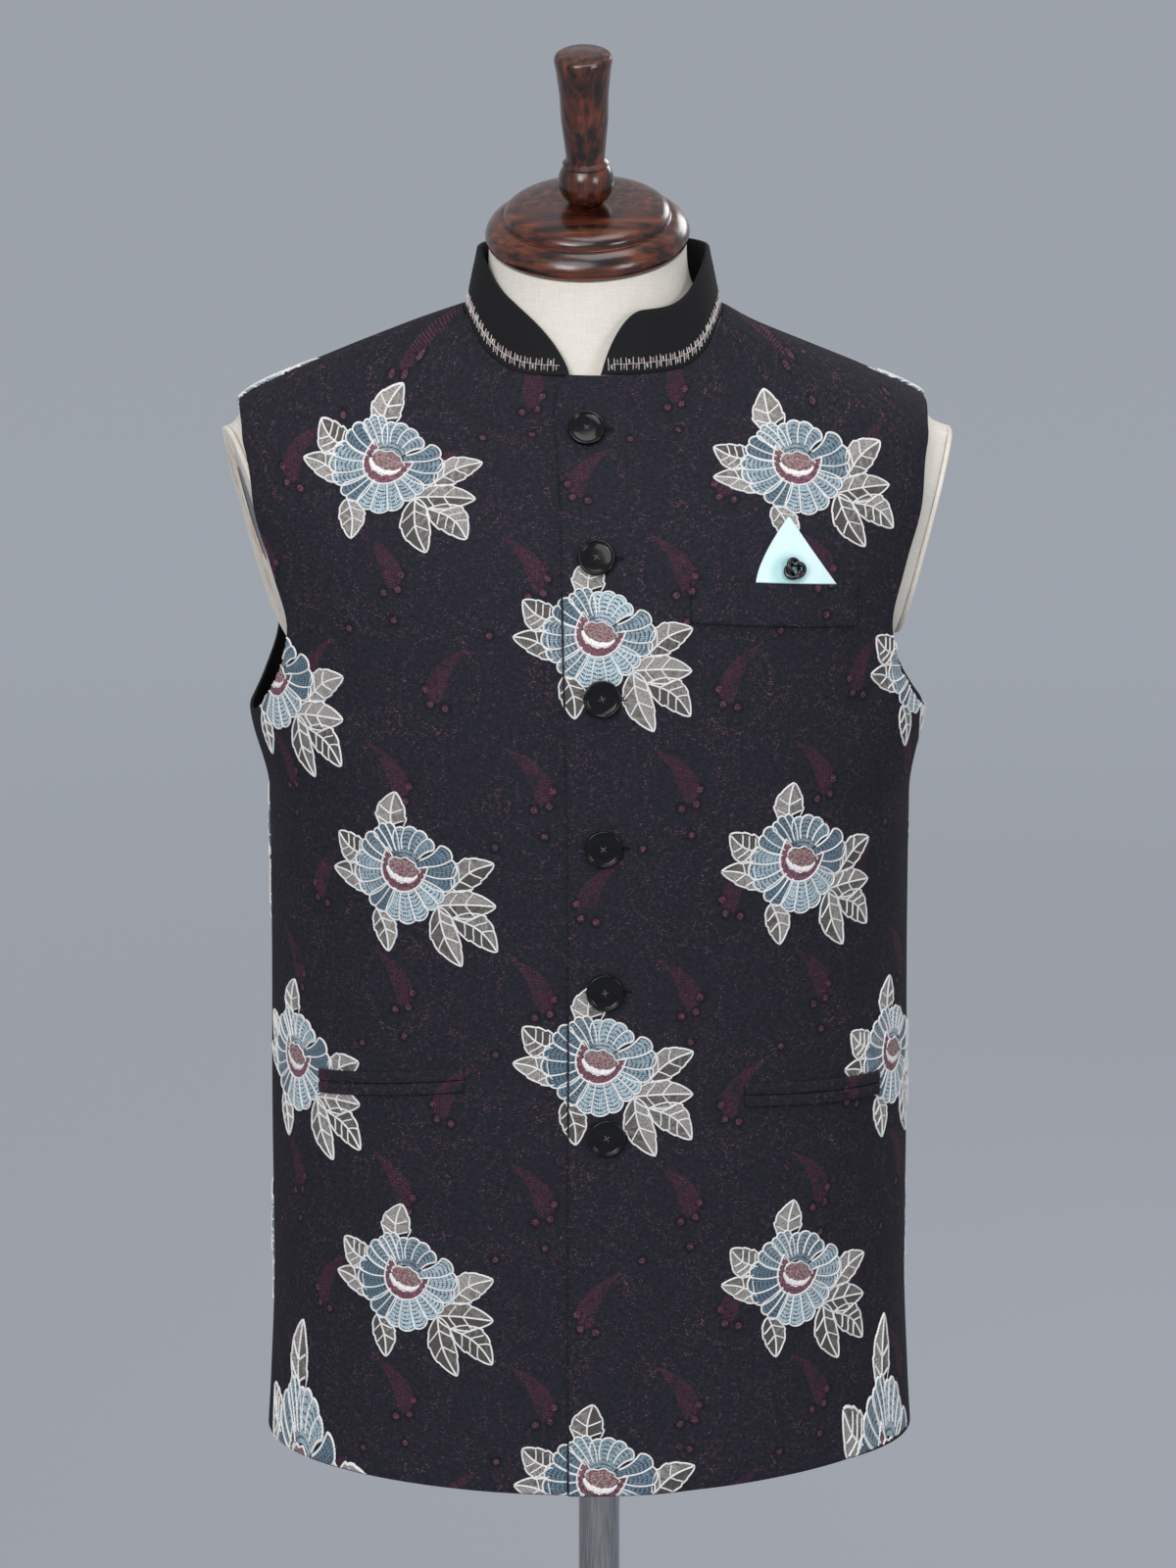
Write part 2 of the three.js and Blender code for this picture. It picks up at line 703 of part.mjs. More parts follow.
function faceOut(geometry, side) {
  if (side > 0) return geometry;
  const index = geometry.index.array;
  for (let i = 0; i < index.length; i += 3) {
    [index[i + 1], index[i + 2]] = [index[i + 2], index[i + 1]];
  }
  return geometry;
}

// Cuts the arm stubs off flat, and keeps the next slice of each as a plate that covers its end
let form = solidOf(formGeometry());
for (const [name, side] of [
  ["left", 1],
  ["right", -1],
]) {
  const beyond = armPlane(new THREE.BoxGeometry(80, 240, 150).translate(40, 0, 5), side);
  const slice = new THREE.BoxGeometry(PLATE_THICK, 240, 150).translate(GAP + PLATE_THICK / 2, 0, 5);
  const plate = form.intersect(solidOf(faceOut(armPlane(slice, side), side)));
  add(`arm_plate_${name}`, geometryOf(plate), linen);
  form = form.subtract(solidOf(faceOut(beyond, side)));
}
add("form_torso", geometryOf(form), linen);

// Turned wooden cap and finial on the neck, leaning forward with its top

const capGroup = new THREE.Group();
capGroup.position.copy(capCentre);
capGroup.rotation.copy(capTurn);
dressed.add(capGroup);

const discTop = CAP.disc;
const stepTop = discTop + CAP.step;
add(
  "neck_cap",
  turned(
    [
      [0, 0],
      [CAP.radius - 3.6, 0],
      [CAP.radius - 1.2, 1.5],
      [CAP.radius, 4.5],
      [CAP.radius - 0.7, 8],
      [CAP.radius - 3.2, 11.6],
      [CAP.radius - 6.7, 14.6],
      [CAP.radius - 10.2, discTop],
      [CAP.stepRadius, discTop],
      [CAP.stepRadius - 0.3, discTop + 2.5],
      [CAP.stepRadius - 2, discTop + 5],
      [CAP.stepRadius - 6.5, discTop + 7.2],
      [CAP.stepRadius - 14, discTop + 8.4],
      [22, stepTop],
      [0, stepTop],
    ],
    44,
  ),
  darkWood,
  capGroup,
);

const ballProfile = [[0, 0]];
for (const degrees of [-56, -36, -16, 4, 24, 44]) {
  const swing = degrees * DEGREE;
  const low = Math.sin(-56 * DEGREE);
  const high = Math.sin(44 * DEGREE);
  ballProfile.push([
    BALL.radius * Math.cos(swing),
    (BALL.height * (Math.sin(swing) - low)) / (high - low),
  ]);
}
add(
  "finial",
  turned(
    [
      ...ballProfile,
      [FINIAL.neckRadius + 1.4, BALL.height - 1.2],
      [FINIAL.neckRadius, BALL.height + 1.4],
      [FINIAL.neckRadius + 2.6, BALL.height + 0.4 * FINIAL.height],
      [FINIAL.topRadius - 0.8, BALL.height + 0.86 * FINIAL.height],
      [FINIAL.topRadius, BALL.height + FINIAL.height - 3.5],
      [FINIAL.topRadius - 1.6, BALL.height + FINIAL.height - 0.6],
      [0, BALL.height + FINIAL.height],
    ],
    28,
  ).translate(0, 0, stepTop + GAP),
  darkWood,
  capGroup,
);

// Socket under the form, pole and round base

const socketTop = FORM_BOTTOM - GAP;
const bore = POLE_RADIUS + GAP;
add(
  "pole_socket",
  turned(
    [
      [bore, socketTop - SOCKET.height],
      [SOCKET.radius, socketTop - SOCKET.height],
      [SOCKET.radius, socketTop - SOCKET.flangeThick],
      [SOCKET.flange, socketTop - SOCKET.flangeThick],
      [SOCKET.flange, socketTop],
      [bore, socketTop],
      [bore, socketTop - SOCKET.height],
    ],
    28,
  ),
  steel,
  waistcoatOnForm,
);

const poleFoot = BASE.socketFloor + GAP;
add(
  "stand_pole",
  turned(
    [
      [0, poleFoot],
      [POLE_RADIUS, poleFoot],
      [POLE_RADIUS, socketTop],
      [0, socketTop],
    ],
    28,
  ),
  steel,
  waistcoatOnForm,
);

add(
  "stand_base",
  turned(
    [
      [0, 0],
      [BASE.radius, 0],
      [BASE.radius, BASE.rim - 2],
      [BASE.radius - 2, BASE.rim],
      [BASE.hubRadius + 6, BASE.dome],
      [BASE.hubRadius, BASE.dome + 5],
      [BASE.hubRadius - 2, BASE.hubTop],
      [bore, BASE.hubTop],
      [bore, BASE.socketFloor],
      [0, BASE.socketFloor],
    ],
    44,
  ),
  paintedBase,
  waistcoatOnForm,
);

export default waistcoatOnForm;
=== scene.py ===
import math

import bpy
import numpy as np
from mathutils import Matrix, Vector
from mathutils.bvhtree import BVHTree


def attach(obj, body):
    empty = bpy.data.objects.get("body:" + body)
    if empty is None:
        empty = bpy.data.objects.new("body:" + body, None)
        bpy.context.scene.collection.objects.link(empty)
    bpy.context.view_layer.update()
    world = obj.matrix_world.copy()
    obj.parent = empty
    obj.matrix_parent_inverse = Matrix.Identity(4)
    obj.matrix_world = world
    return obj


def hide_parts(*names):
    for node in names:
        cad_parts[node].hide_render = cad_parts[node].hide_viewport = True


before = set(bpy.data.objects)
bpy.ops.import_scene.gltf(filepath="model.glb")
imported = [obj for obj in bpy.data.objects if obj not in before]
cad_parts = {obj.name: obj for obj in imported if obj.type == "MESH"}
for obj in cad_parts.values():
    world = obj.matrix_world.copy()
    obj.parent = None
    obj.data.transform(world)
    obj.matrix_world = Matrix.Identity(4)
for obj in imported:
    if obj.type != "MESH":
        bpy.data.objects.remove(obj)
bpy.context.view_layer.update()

scene = bpy.context.scene

# Camera with a long lens, a little above the chest and a little to the wearer's right, so that the
# waistcoat is seen almost square on from its hem to the top of the form.
camera_target = Vector((-0.006, 0, 1.151))
camera_away = 4.5
camera_raised = math.radians(10.8)
camera_round = math.radians(-2.2)
towards_camera = Vector(
    (
        math.sin(camera_round) * math.cos(camera_raised),
        -math.cos(camera_round) * math.cos(camera_raised),
        math.sin(camera_raised),
    )
)
camera = bpy.data.objects.new("Camera", bpy.data.cameras.new("Camera"))
camera.data.lens = 171.8
camera.data.shift_x = -0.0009
camera.location = camera_target + camera_away * towards_camera
camera.rotation_mode = "QUATERNION"
camera.rotation_quaternion = (-towards_camera).to_track_quat("-Z", "Y")
scene.collection.objects.link(camera)
scene.camera = camera

# Fronts and back: figured jacquard, lined, in three pieces that meet at the side and shoulder seams.
# The left front laps over the right one down the middle, and all edges are turned in. Lengths are in
# millimetres until a piece's mesh is made.
CLOTH_THICK = 2.0
LIE = 0.35
SEAM_GAP = 0.17
HEM_SIDE, HEM_TILT, HEM_SAG = 756.0, 4.0, 6.0
UNDERARM, SHOULDER_TIP, NECKLINE = 1200.0, 1386.0, 1440.0
OVERLAP, UNDERLAP = 18.0, 20.0
LAP_LIFT, LAP_FROM, LAP_EASE = CLOTH_THICK + LIE, UNDERLAP + 12, 30.0
DIP_POWER = 6
BODY_COLUMNS = ("half", "front", "back", "middle", "front_power", "back_power", "dip", "sway")
BODY_RINGS = {
    740: (197, 147, 127, 0, 2.15, 2.2, 0, 0),
    790: (194, 148, 126, 0, 2.15, 2.2, 0, 0),
    860: (191.5, 149, 125, 0, 2.15, 2.2, 0, 0),
    960: (192, 151, 125, 0, 2.15, 2.2, 0, 0),
    1060: (191.5, 153, 128, 0, 2.15, 2.2, 0, 0),
    1150: (192, 154, 134, 0, 2.25, 2.2, 0, 0),
    1200: (202, 151, 137, 0, 2.25, 2.2, 0, -1.5),
    1250: (205, 146, 137, 0, 2.25, 2.2, 0, -2.5),
    1300: (212, 135, 133, 1, 2.3, 2.2, 2, -3),
    1340: (219, 117, 124, 2, 2.4, 2.15, 7, -3),
    1365: (217, 105, 114, 3, 2.4, 2.1, 13, -3.5),
    1386: (203, 96, 102, 4, 2.3, 2.05, 20, -4),
    1400: (176, 90, 93, 5, 2.2, 2, 24, -5),
    1415: (140, 84, 83, 6, 2.1, 2, 28, -5),
    1428: (107, 79, 75, 7, 2.05, 2, 31, -4),
    1440: (78, 75, 67, 8, 2, 2, 33, 2.5),
}
ARMHOLE_EDGE = {  # angles from the centre front, at the front edge and at the back edge
    1200: (90, 90),
    1204: (81, 98),
    1216: (73, 104.5),
    1238: (67.5, 109.5),
    1262: (65.5, 111),
    1290: (68, 110),
    1318: (71, 107),
    1350: (74, 104),
    1374: (79, 99),
    1381: (83, 95.5),
    1386: (90, 90),
}
FOLD_COLUMNS = ("face", "x0", "z0", "x1", "z1", "width", "depth")
FOLDS = (
    (-1, -88, 1408, -28, 1380, 15, -2.4),
    (-1, -70, 1372, -36, 1350, 16, 1.4),
    (-1, 88, 1402, 58, 1372, 16, -2.2),
    (-1, -62, 980, -70, 790, 16, 1.8),
    (-1, -38, 930, -34, 770, 15, -1.6),
    (-1, 66, 940, 78, 775, 18, 1.6),
    (-1, 40, 900, 34, 780, 14, -1.2),
    (-1, -150, 1180, -118, 1120, 20, 1.5),
    (-1, 152, 1175, 120, 1110, 20, 1.6),
    (1, -60, 1010, -78, 790, 20, 2.0),
    (1, 58, 990, 72, 785, 20, 2.0),
    (1, 0, 1060, 4, 900, 24, -1.8),
    (1, -135, 1215, -100, 1140, 20, 1.8),
    (1, 135, 1215, 100, 1140, 20, 1.8),
)
CREASES = (  # the finer pulls and hollows between those folds
    (-1, -96, 1404, -62, 1384, 5, -1.3),
    (-1, -66, 1386, -22, 1378, 6.5, -2.0),
    (-1, -84, 1388, -52, 1368, 8, 1.3),
    (-1, -150, 1376, -112, 1330, 8, -0.9),
    (-1, -24, 1370, -23, 780, 4, -1.1),
    (-1, 60, 1392, 26, 1378, 5, -0.9),
    (-1, -185, 1240, -150, 1216, 6, -0.7),
    (-1, -180, 1225, -140, 1192, 7, 0.6),
    (-1, 184, 1238, 150, 1212, 6, -0.7),
    (-1, 180, 1222, 142, 1188, 7, 0.6),
    (-1, -16, 1300, -34, 1262, 6, -0.5),
    (-1, -16, 1222, -40, 1196, 6, -0.5),
    (-1, -16, 1136, -38, 1112, 7, -0.5),
    (-1, -50, 900, -56, 764, 8, 0.6),
    (-1, 96, 960, 104, 780, 10, 0.7),
    (-1, -118, 985, -128, 790, 10, 0.7),
    (1, -150, 1250, -112, 1215, 8, -0.8),
    (1, 150, 1250, 112, 1215, 8, -0.8),
    (1, -30, 1415, -60, 1380, 8, -0.8),
    (1, 30, 1415, 60, 1380, 8, -0.8),
    (1, -20, 980, -26, 800, 12, 0.8),
    (1, 100, 940, 112, 780, 12, 0.8),
    (1, -110, 950, -122, 790, 12, 0.7),
)


def curve_through(at, values):
    at, values = np.array(at, float), np.array(values, float)
    run = np.diff(at)
    rise = np.diff(values) / run
    slope = np.concatenate([rise[:1], np.zeros(len(rise) - 1), rise[-1:]])
    for i in range(1, len(rise)):
        if rise[i - 1] * rise[i] > 0:
            before, after = 2 * run[i] + run[i - 1], run[i] + 2 * run[i - 1]
            slope[i] = (before + after) / (before / rise[i - 1] + after / rise[i])

    def look(where):
        x = np.clip(where, at[0], at[-1])
        i = np.clip(np.searchsorted(at, x) - 1, 0, len(run) - 1)
        t = (x - at[i]) / run[i]
        u = 1 - t
        return (
            (1 + 2 * t) * u * u * values[i]
            + t * u * u * run[i] * slope[i]
            + t * t * (3 - 2 * t) * values[i + 1]
            - t * t * u * run[i] * slope[i + 1]
        )

    return look


body = {
    name: curve_through(list(BODY_RINGS), [row[k] for row in BODY_RINGS.values()])
    for k, name in enumerate(BODY_COLUMNS)
}
armhole = {
    face: curve_through(list(ARMHOLE_EDGE), [row[k] for row in ARMHOLE_EDGE.values()])
    for k, face in enumerate(("front", "back"))
}
ALL_FOLDS = [dict(zip(FOLD_COLUMNS, row)) for row in FOLDS + CREASES]


def ease(x, low, high):
    t = np.clip((x - low) / (high - low), 0, 1)
    return t * t * (3 - 2 * t)


def body_point(angle, height):
    side, ahead = np.abs(np.sin(angle)), np.cos(angle)
    before = ahead > 0
    depth = np.where(before, body["front"](height), body["back"](height))
    power = np.where(before, body["front_power"](height), body["back_power"](height))
    reach = ((side / body["half"](height)) ** power + (np.abs(ahead) / depth) ** power) ** (-1 / power)
    fall = np.where(before, body["dip"](height) * (1 - side**DIP_POWER), 0)
    x = body["sway"](height) + reach * np.sin(angle)
    return np.stack([x, body["middle"](height) - reach * ahead, height - fall], -1)


def unit(vectors):
    return vectors / np.linalg.norm(vectors, axis=-1, keepdims=True)


def body_frame(angle, height):
    above = np.minimum(height + 0.5, NECKLINE)
    across = unit(body_point(angle + 0.004, height) - body_point(angle - 0.004, height))
    up = unit(body_point(angle, above) - body_point(angle, above - 1.0))
    return body_point(angle, height), across, up, unit(np.cross(across, up))


def fold_depth(at):
    depth = np.zeros(at.shape[:-1])
    for fold in ALL_FOLDS:
        run_x, run_z = fold["x1"] - fold["x0"], fold["z1"] - fold["z0"]
        x, z = at[..., 0] - fold["x0"], at[..., 2] - fold["z0"]
        t = np.clip((x * run_x + z * run_z) / (run_x**2 + run_z**2), 0, 1)
        off = np.hypot(x - t * run_x, z - t * run_z)
        bent = fold["depth"] * np.exp(-((off / fold["width"]) ** 2))
        depth += np.where(fold["face"] * at[..., 1] < 0, 0, bent)
    return depth


def lap_lift(x):
    return LAP_LIFT * (1 - ease(x, LAP_FROM, LAP_FROM + LAP_EASE))


def cloth_point(on_left, angle, height, out):
    at, across, up, normal = body_frame(angle, height)
    lift = out + fold_depth(at) + (lap_lift(at[..., 0]) if on_left else 0)
    return at + normal * np.asarray(lift)[..., None]


def angle_at(turn, height):
    depth = np.where(np.cos(turn) > 0, body["front"](height), body["back"](height))
    return np.arctan2(body["half"](height) * np.sin(turn), depth * np.cos(turn)) % (2 * np.pi)


def turn_at(angle, height):
    depth = np.where(np.cos(angle) > 0, body["front"](height), body["back"](height))
    return np.arctan2(np.sin(angle) / body["half"](height), np.cos(angle) / depth)


# Distances over the cloth: round each ring from the middle of the front or of the back, and up it
RING_HEIGHTS = np.linspace(HEM_SIDE - 10, NECKLINE, 260)
RING_ANGLES = np.radians(np.linspace(-110, 110, 441))


def cloth_ruler(middle):
    rings = body_point(RING_ANGLES[None, :] + middle, RING_HEIGHTS[:, None])
    steps = np.linalg.norm(np.diff(rings, axis=1), axis=2)
    along = np.concatenate([np.zeros((len(rings), 1)), np.cumsum(steps, axis=1)], axis=1)
    along -= along[:, len(RING_ANGLES) // 2, None]
    column = body_point(np.full(len(RING_HEIGHTS), middle + 0.6), RING_HEIGHTS)
    rise = np.linalg.norm(np.diff(column, axis=0), axis=1)
    return along, HEM_SIDE - 10 + np.concatenate([[0], np.cumsum(rise)])


RULERS = {"front": (0.0, *cloth_ruler(0.0)), "back": (math.pi, *cloth_ruler(math.pi))}


def measure(face, angle, height):
    middle, along, rise = RULERS[face]
    turned = (angle - middle + math.pi) % (2 * math.pi) - math.pi
    i = np.interp(height, RING_HEIGHTS, np.arange(len(RING_HEIGHTS)))
    j = np.interp(turned, RING_ANGLES, np.arange(len(RING_ANGLES)))
    i0 = np.minimum(i.astype(int), len(RING_HEIGHTS) - 2)
    j0 = np.minimum(j.astype(int), len(RING_ANGLES) - 2)
    s, t = i - i0, j - j0
    low = along[i0, j0] * (1 - t) + along[i0, j0 + 1] * t
    high = along[i0 + 1, j0] * (1 - t) + along[i0 + 1, j0 + 1] * t
    return low * (1 - s) + high * s, np.interp(height, RING_HEIGHTS, rise)


def find_on_cloth(face, across, up):
    middle, along, rise = RULERS[face]
    height = np.interp(up, rise, RING_HEIGHTS)
    angle = middle + np.asarray(across, float) / 160
    for _ in range(14):
        here = measure(face, angle, height)[0]
        rate = (measure(face, angle + 0.01, height)[0] - here) / 0.01
        angle = angle + np.clip((across - here) / np.maximum(rate, 40), -0.25, 0.25)
    return angle, height


def find_on_front(x, z):
    x, z = np.asarray(x, float), np.asarray(z, float)
    angle = np.arcsin(np.clip(x / body["half"](z), -0.9, 0.9))
    height = z.copy()
    for _ in range(40):
        at = body_point(angle, height)
        rate = (body_point(angle + 0.01, height)[..., 0] - at[..., 0]) / 0.01
        angle = angle + (x - at[..., 0]) / rate
        height = height + z - at[..., 2]
    return angle, height


def arm_angle(height, face):
    inside = (height > UNDERARM) & (height < SHOULDER_TIP)
    seam = SEAM_GAP / body["half"](height) * (-1 if face == "front" else 1)
    return np.where(inside, np.radians(armhole[face](height)), math.pi / 2 + seam)


def hem_height(angle):
    return HEM_SIDE + HEM_TILT * np.maximum(0, np.sin(angle)) ** 2 - HEM_SAG * np.cos(angle) ** 2


ASIDE = -6.0  # the waistcoat and the form hang this far to the wearer's right of the pole


def make_piece(name, points, faces, finishes, which=None, maps=None, aside=ASIDE, crisp=40):
    mesh = bpy.data.meshes.new(name)
    moved = (np.asarray(points, float).reshape(-1, 3) + (aside, 0, 0)) * 0.001
    mesh.from_pydata(moved.tolist(), [], [list(face) for face in faces])
    for finish in finishes:
        mesh.materials.append(finish)
    if which is not None:
        mesh.polygons.foreach_set("material_index", np.asarray(which, np.int32))
    corners = np.zeros(len(mesh.loops), np.int64)
    mesh.loops.foreach_get("vertex_index", corners)
    for key, values in (maps or {}).items():
        layer = mesh.uv_layers.new(name=key)
        at_corners = np.asarray(values, float).reshape(-1, 2)[corners]
        layer.data.foreach_set("uv", at_corners.astype(np.float32).ravel())
    mesh.shade_smooth()
    mesh.set_sharp_from_angle(angle=math.radians(crisp))
    made = bpy.data.objects.new(name, mesh)
    scene.collection.objects.link(made)
    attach(made, "root")
    return made


def wall(outer, inner):
    rows, columns = outer.shape[0] - 1, outer.shape[1] - 1
    wide, half = columns + 1, outer.shape[0] * (columns + 1)
    k = (np.arange(rows)[:, None] * wide + np.arange(columns)[None, :]).ravel()
    left = np.arange(rows) * wide
    right, low = left + columns, np.arange(columns)
    top = rows * wide + low
    outside = np.stack([k, k + 1, k + 1 + wide, k + wide], 1)
    inside = half + outside[:, ::-1]
    rims = [
        np.stack([left, left + wide, half + left + wide, half + left], 1),
        np.stack([right, half + right, half + right + wide, right + wide], 1),
        np.stack([low, half + low, half + low + 1, low + 1], 1),
        np.stack([top, top + 1, half + top + 1, half + top], 1),
    ]
    rim = np.concatenate(rims)
    faces = np.concatenate([outside, inside, rim])
    which = np.concatenate([np.zeros(len(outside)), np.ones(len(inside)), np.zeros(len(rim))])
    points = np.concatenate([outer.reshape(-1, 3), inner.reshape(-1, 3)])
    return points, faces, which


class Weave:
    """A number that changes over a material, made with math nodes."""

    def __init__(self, tree, socket):
        self.tree, self.socket = tree, socket

    def math(self, operation, *others):
        node = self.tree.nodes.new("ShaderNodeMath")
        node.operation = operation
        for place, value in enumerate((self, *others)):
            if isinstance(value, Weave):
                self.tree.links.new(value.socket, node.inputs[place])
            else:
                node.inputs[place].default_value = value
        return Weave(self.tree, node.outputs[0])

    def __add__(self, other):
        return self.math("ADD", other)

    def __sub__(self, other):
        return self.math("SUBTRACT", other)

    def __mul__(self, other):
        return self.math("MULTIPLY", other)

    def __truediv__(self, other):
        return self.math("DIVIDE", other)

    __radd__, __rmul__ = __add__, __mul__

    def top(self, other):
        return self.math("MAXIMUM", other)

    def bottom(self, other):
        return self.math("MINIMUM", other)

    def rising(self, low, high):
        node = self.tree.nodes.new("ShaderNodeMapRange")
        node.interpolation_type = "SMOOTHSTEP"
        self.tree.links.new(self.socket, node.inputs["Value"])
        node.inputs["From Min"].default_value = min(low, high)
        node.inputs["From Max"].default_value = max(low, high)
        node.inputs["To Min"].default_value = float(low > high)
        node.inputs["To Max"].default_value = float(low <= high)
        return Weave(self.tree, node.outputs["Result"])

    def wrapped(self, half):
        return self.math("WRAP", half, -half)


def read_map(tree, name):
    node = tree.nodes.new("ShaderNodeUVMap")
    node.uv_map = name
    split = tree.nodes.new("ShaderNodeSeparateXYZ")
    tree.links.new(node.outputs["UV"], split.inputs[0])
    return Weave(tree, split.outputs[0]), Weave(tree, split.outputs[1])


def place_of(tree, x, y, z=0.0):
    node = tree.nodes.new("ShaderNodeCombineXYZ")
    for place, value in enumerate((x, y, z)):
        if isinstance(value, Weave):
            tree.links.new(value.socket, node.inputs[place])
        else:
            node.inputs[place].default_value = value
    return node.outputs[0]


def object_place(tree):
    node = tree.nodes.new("ShaderNodeTexCoord")
    split = tree.nodes.new("ShaderNodeSeparateXYZ")
    tree.links.new(node.outputs["Object"], split.inputs[0])
    return [Weave(tree, split.outputs[k]) * 1000 for k in range(3)]


def cloudy(place, detail=2.0, roughness=0.5):
    tree = place[0].tree
    node = tree.nodes.new("ShaderNodeTexNoise")
    node.inputs["Scale"].default_value = 1.0
    node.inputs["Detail"].default_value = detail
    node.inputs["Roughness"].default_value = roughness
    tree.links.new(place_of(tree, *place), node.inputs["Vector"])
    return Weave(tree, node.outputs["Fac"])


def speckled(place):
    tree = place[0].tree
    node = tree.nodes.new("ShaderNodeTexWhiteNoise")
    node.noise_dimensions = "3D"
    tree.links.new(place_of(tree, *place), node.inputs["Vector"])
    return Weave(tree, node.outputs["Value"])


def blend(share, first, second):
    tree = share.tree
    node = tree.nodes.new("ShaderNodeMix")
    node.data_type = "RGBA"
    tree.links.new(share.socket, node.inputs["Factor"])
    for name, value in (("A", first), ("B", second)):
        socket = [s for s in node.inputs if s.name == name and s.type == "RGBA"][0]
        if isinstance(value, bpy.types.NodeSocket):
            tree.links.new(value, socket)
        else:
            socket.default_value = (*value, 1)
    return [s for s in node.outputs if s.type == "RGBA"][0]


def srgb(*levels):
    shares = [level / 255 for level in levels]
    return tuple(c / 12.92 if c < 0.04045 else ((c + 0.055) / 1.055) ** 2.4 for c in shares)


def finish(name, color, roughness=0.8, metallic=0.0, **extra):
    made = bpy.data.materials.new(name)
    made.use_nodes = True
    shader = made.node_tree.nodes["Principled BSDF"]
    shader.inputs["Base Color"].default_value = (*color, 1)
    shader.inputs["Roughness"].default_value = roughness
    shader.inputs["Metallic"].default_value = metallic
    for key, value in extra.items():
        shader.inputs[key.replace("_", " ").title().replace("Ior", "IOR")].default_value = value
    return made, made.node_tree, shader


def dye(shader, shade, rough=None):
    links = shader.id_data.links
    links.new(shade, shader.inputs["Base Color"])
    if rough is not None:
        links.new(rough.socket, shader.inputs["Roughness"])


def raise_by(shader, height, distance, strength=1.0):
    tree = height.tree
    bump = tree.nodes.new("ShaderNodeBump")
    bump.inputs["Distance"].default_value = distance * 0.001
    bump.inputs["Strength"].default_value = strength
    tree.links.new(height.socket, bump.inputs["Height"])
    tree.links.new(bump.outputs["Normal"], shader.inputs["Normal"])


# The figured weave: bent paisleys filled with a lattice, three knots at the foot of each, single knots
# between them and thin speckled arcs, in plum on charcoal
REPEAT_WIDE, REPEAT_TALL = 86.0, 124.0
PAISLEYS = (  # place in the repeat, then 1 where it leans to the right and -1 to the left
    (0.0, 0.0, 1),
    (46.0, -58.0, -1),
)
PAISLEY_TIP, PAISLEY_LEAN = (13.0, 19.0), (0.584, 0.812)  # its thin end, and which way it points
PAISLEY_LONG, PAISLEY_HALF, PAISLEY_BOW = 40.0, 8.5, 4.5
KNOTS = ((-13.5, -6.3), (-11.0, -15.0), (-2.2, -17.2))
SINGLE_KNOTS = ((25.0, 26.0), (-32.0, 33.0))
jacquard_weave = bpy.data.node_groups.new("figured weave", "ShaderNodeTree")
for socket_name, socket_kind in (("Across", "NodeSocketFloat"), ("Up", "NodeSocketFloat")):
    jacquard_weave.interface.new_socket(socket_name, in_out="INPUT", socket_type=socket_kind)
WEAVE_PARTS = ("Figure", "Knot", "Halo", "Speck", "Ground", "Height")
for socket_name in WEAVE_PARTS:
    jacquard_weave.interface.new_socket(socket_name, in_out="OUTPUT", socket_type="NodeSocketFloat")
group_in = jacquard_weave.nodes.new("NodeGroupInput")
group_out = jacquard_weave.nodes.new("NodeGroupOutput")
across = Weave(jacquard_weave, group_in.outputs["Across"])
up = Weave(jacquard_weave, group_in.outputs["Up"])


def spot(x, y, x0, y0, radius):
    off = ((x - x0) * (x - x0) + (y - y0) * (y - y0)).math("SQRT")
    return off.rising(radius, radius * 0.55)


figure = knots = halos = arcs = None
for x0, y0, lean in PAISLEYS:
    x = (across - x0).wrapped(REPEAT_WIDE / 2) * lean
    y = (up - y0).wrapped(REPEAT_TALL / 2)
    from_tip = (x - PAISLEY_TIP[0], y - PAISLEY_TIP[1])
    along = (from_tip[0] * -PAISLEY_LEAN[0] + from_tip[1] * -PAISLEY_LEAN[1]) / PAISLEY_LONG
    aside = from_tip[0] * PAISLEY_LEAN[1] + from_tip[1] * -PAISLEY_LEAN[0]
    inside = along.top(0.0).bottom(1.0)
    bowed = aside + (inside * math.pi).math("SINE") * PAISLEY_BOW
    blunt = ((inside.math("POWER", 7.0) * -1.0) + 1.0).top(0.0).math("SQRT")
    half_wide = inside.math("POWER", 0.85) * PAISLEY_HALF * blunt
    paisley = (half_wide - bowed.math("ABSOLUTE")).rising(-0.4, 0.5)
    paisley = paisley * along.rising(0.0, 0.03) * along.rising(1.0, 0.97)
    figure = paisley if figure is None else figure.top(paisley)
    for knot_x, knot_y in KNOTS:
        knot = spot(x, y, knot_x, knot_y, 2.5)
        halo = spot(x, y, knot_x, knot_y, 5.0)
        knots = knot if knots is None else knots.top(knot)
        halos = halo if halos is None else halos.top(halo)
    ring = ((x + 4.0) * (x + 4.0) + (y * 0.8 + 2.0) * (y * 0.8 + 2.0)).math("SQRT")
    arc = (ring * 0.62).math("SINE").rising(0.1, 0.9) * ring.rising(17.0, 20.0) * ring.rising(38.0, 30.0)
    arcs = arc if arcs is None else arcs.top(arc)
for knot_x, knot_y in SINGLE_KNOTS:
    x = (across - knot_x).wrapped(REPEAT_WIDE / 2)
    y = (up - knot_y).wrapped(REPEAT_TALL / 2)
    knots = knots.top(spot(x, y, 0.0, 0.0, 2.3))
    halos = halos.top(spot(x, y, 0.0, 0.0, 4.8))
lattice = ((across + up) * 3.3).math("SINE") * ((across - up) * 3.3).math("SINE")
slub = cloudy((across * 0.35, up * 0.35))
drift = cloudy((across * 0.045, up * 0.045, 4.0))
threads = speckled(((across * 1.25).math("FLOOR"), (up * 2.1).math("FLOOR")))
streaks = cloudy((across * 0.25, up * 3.5, 2.0), 1.0)
warp = (across * 9.5).math("SINE") * (up * 9.5).math("SINE")
gathered = arcs * 0.7 + drift.rising(0.42, 0.7) * 0.6 + 0.2
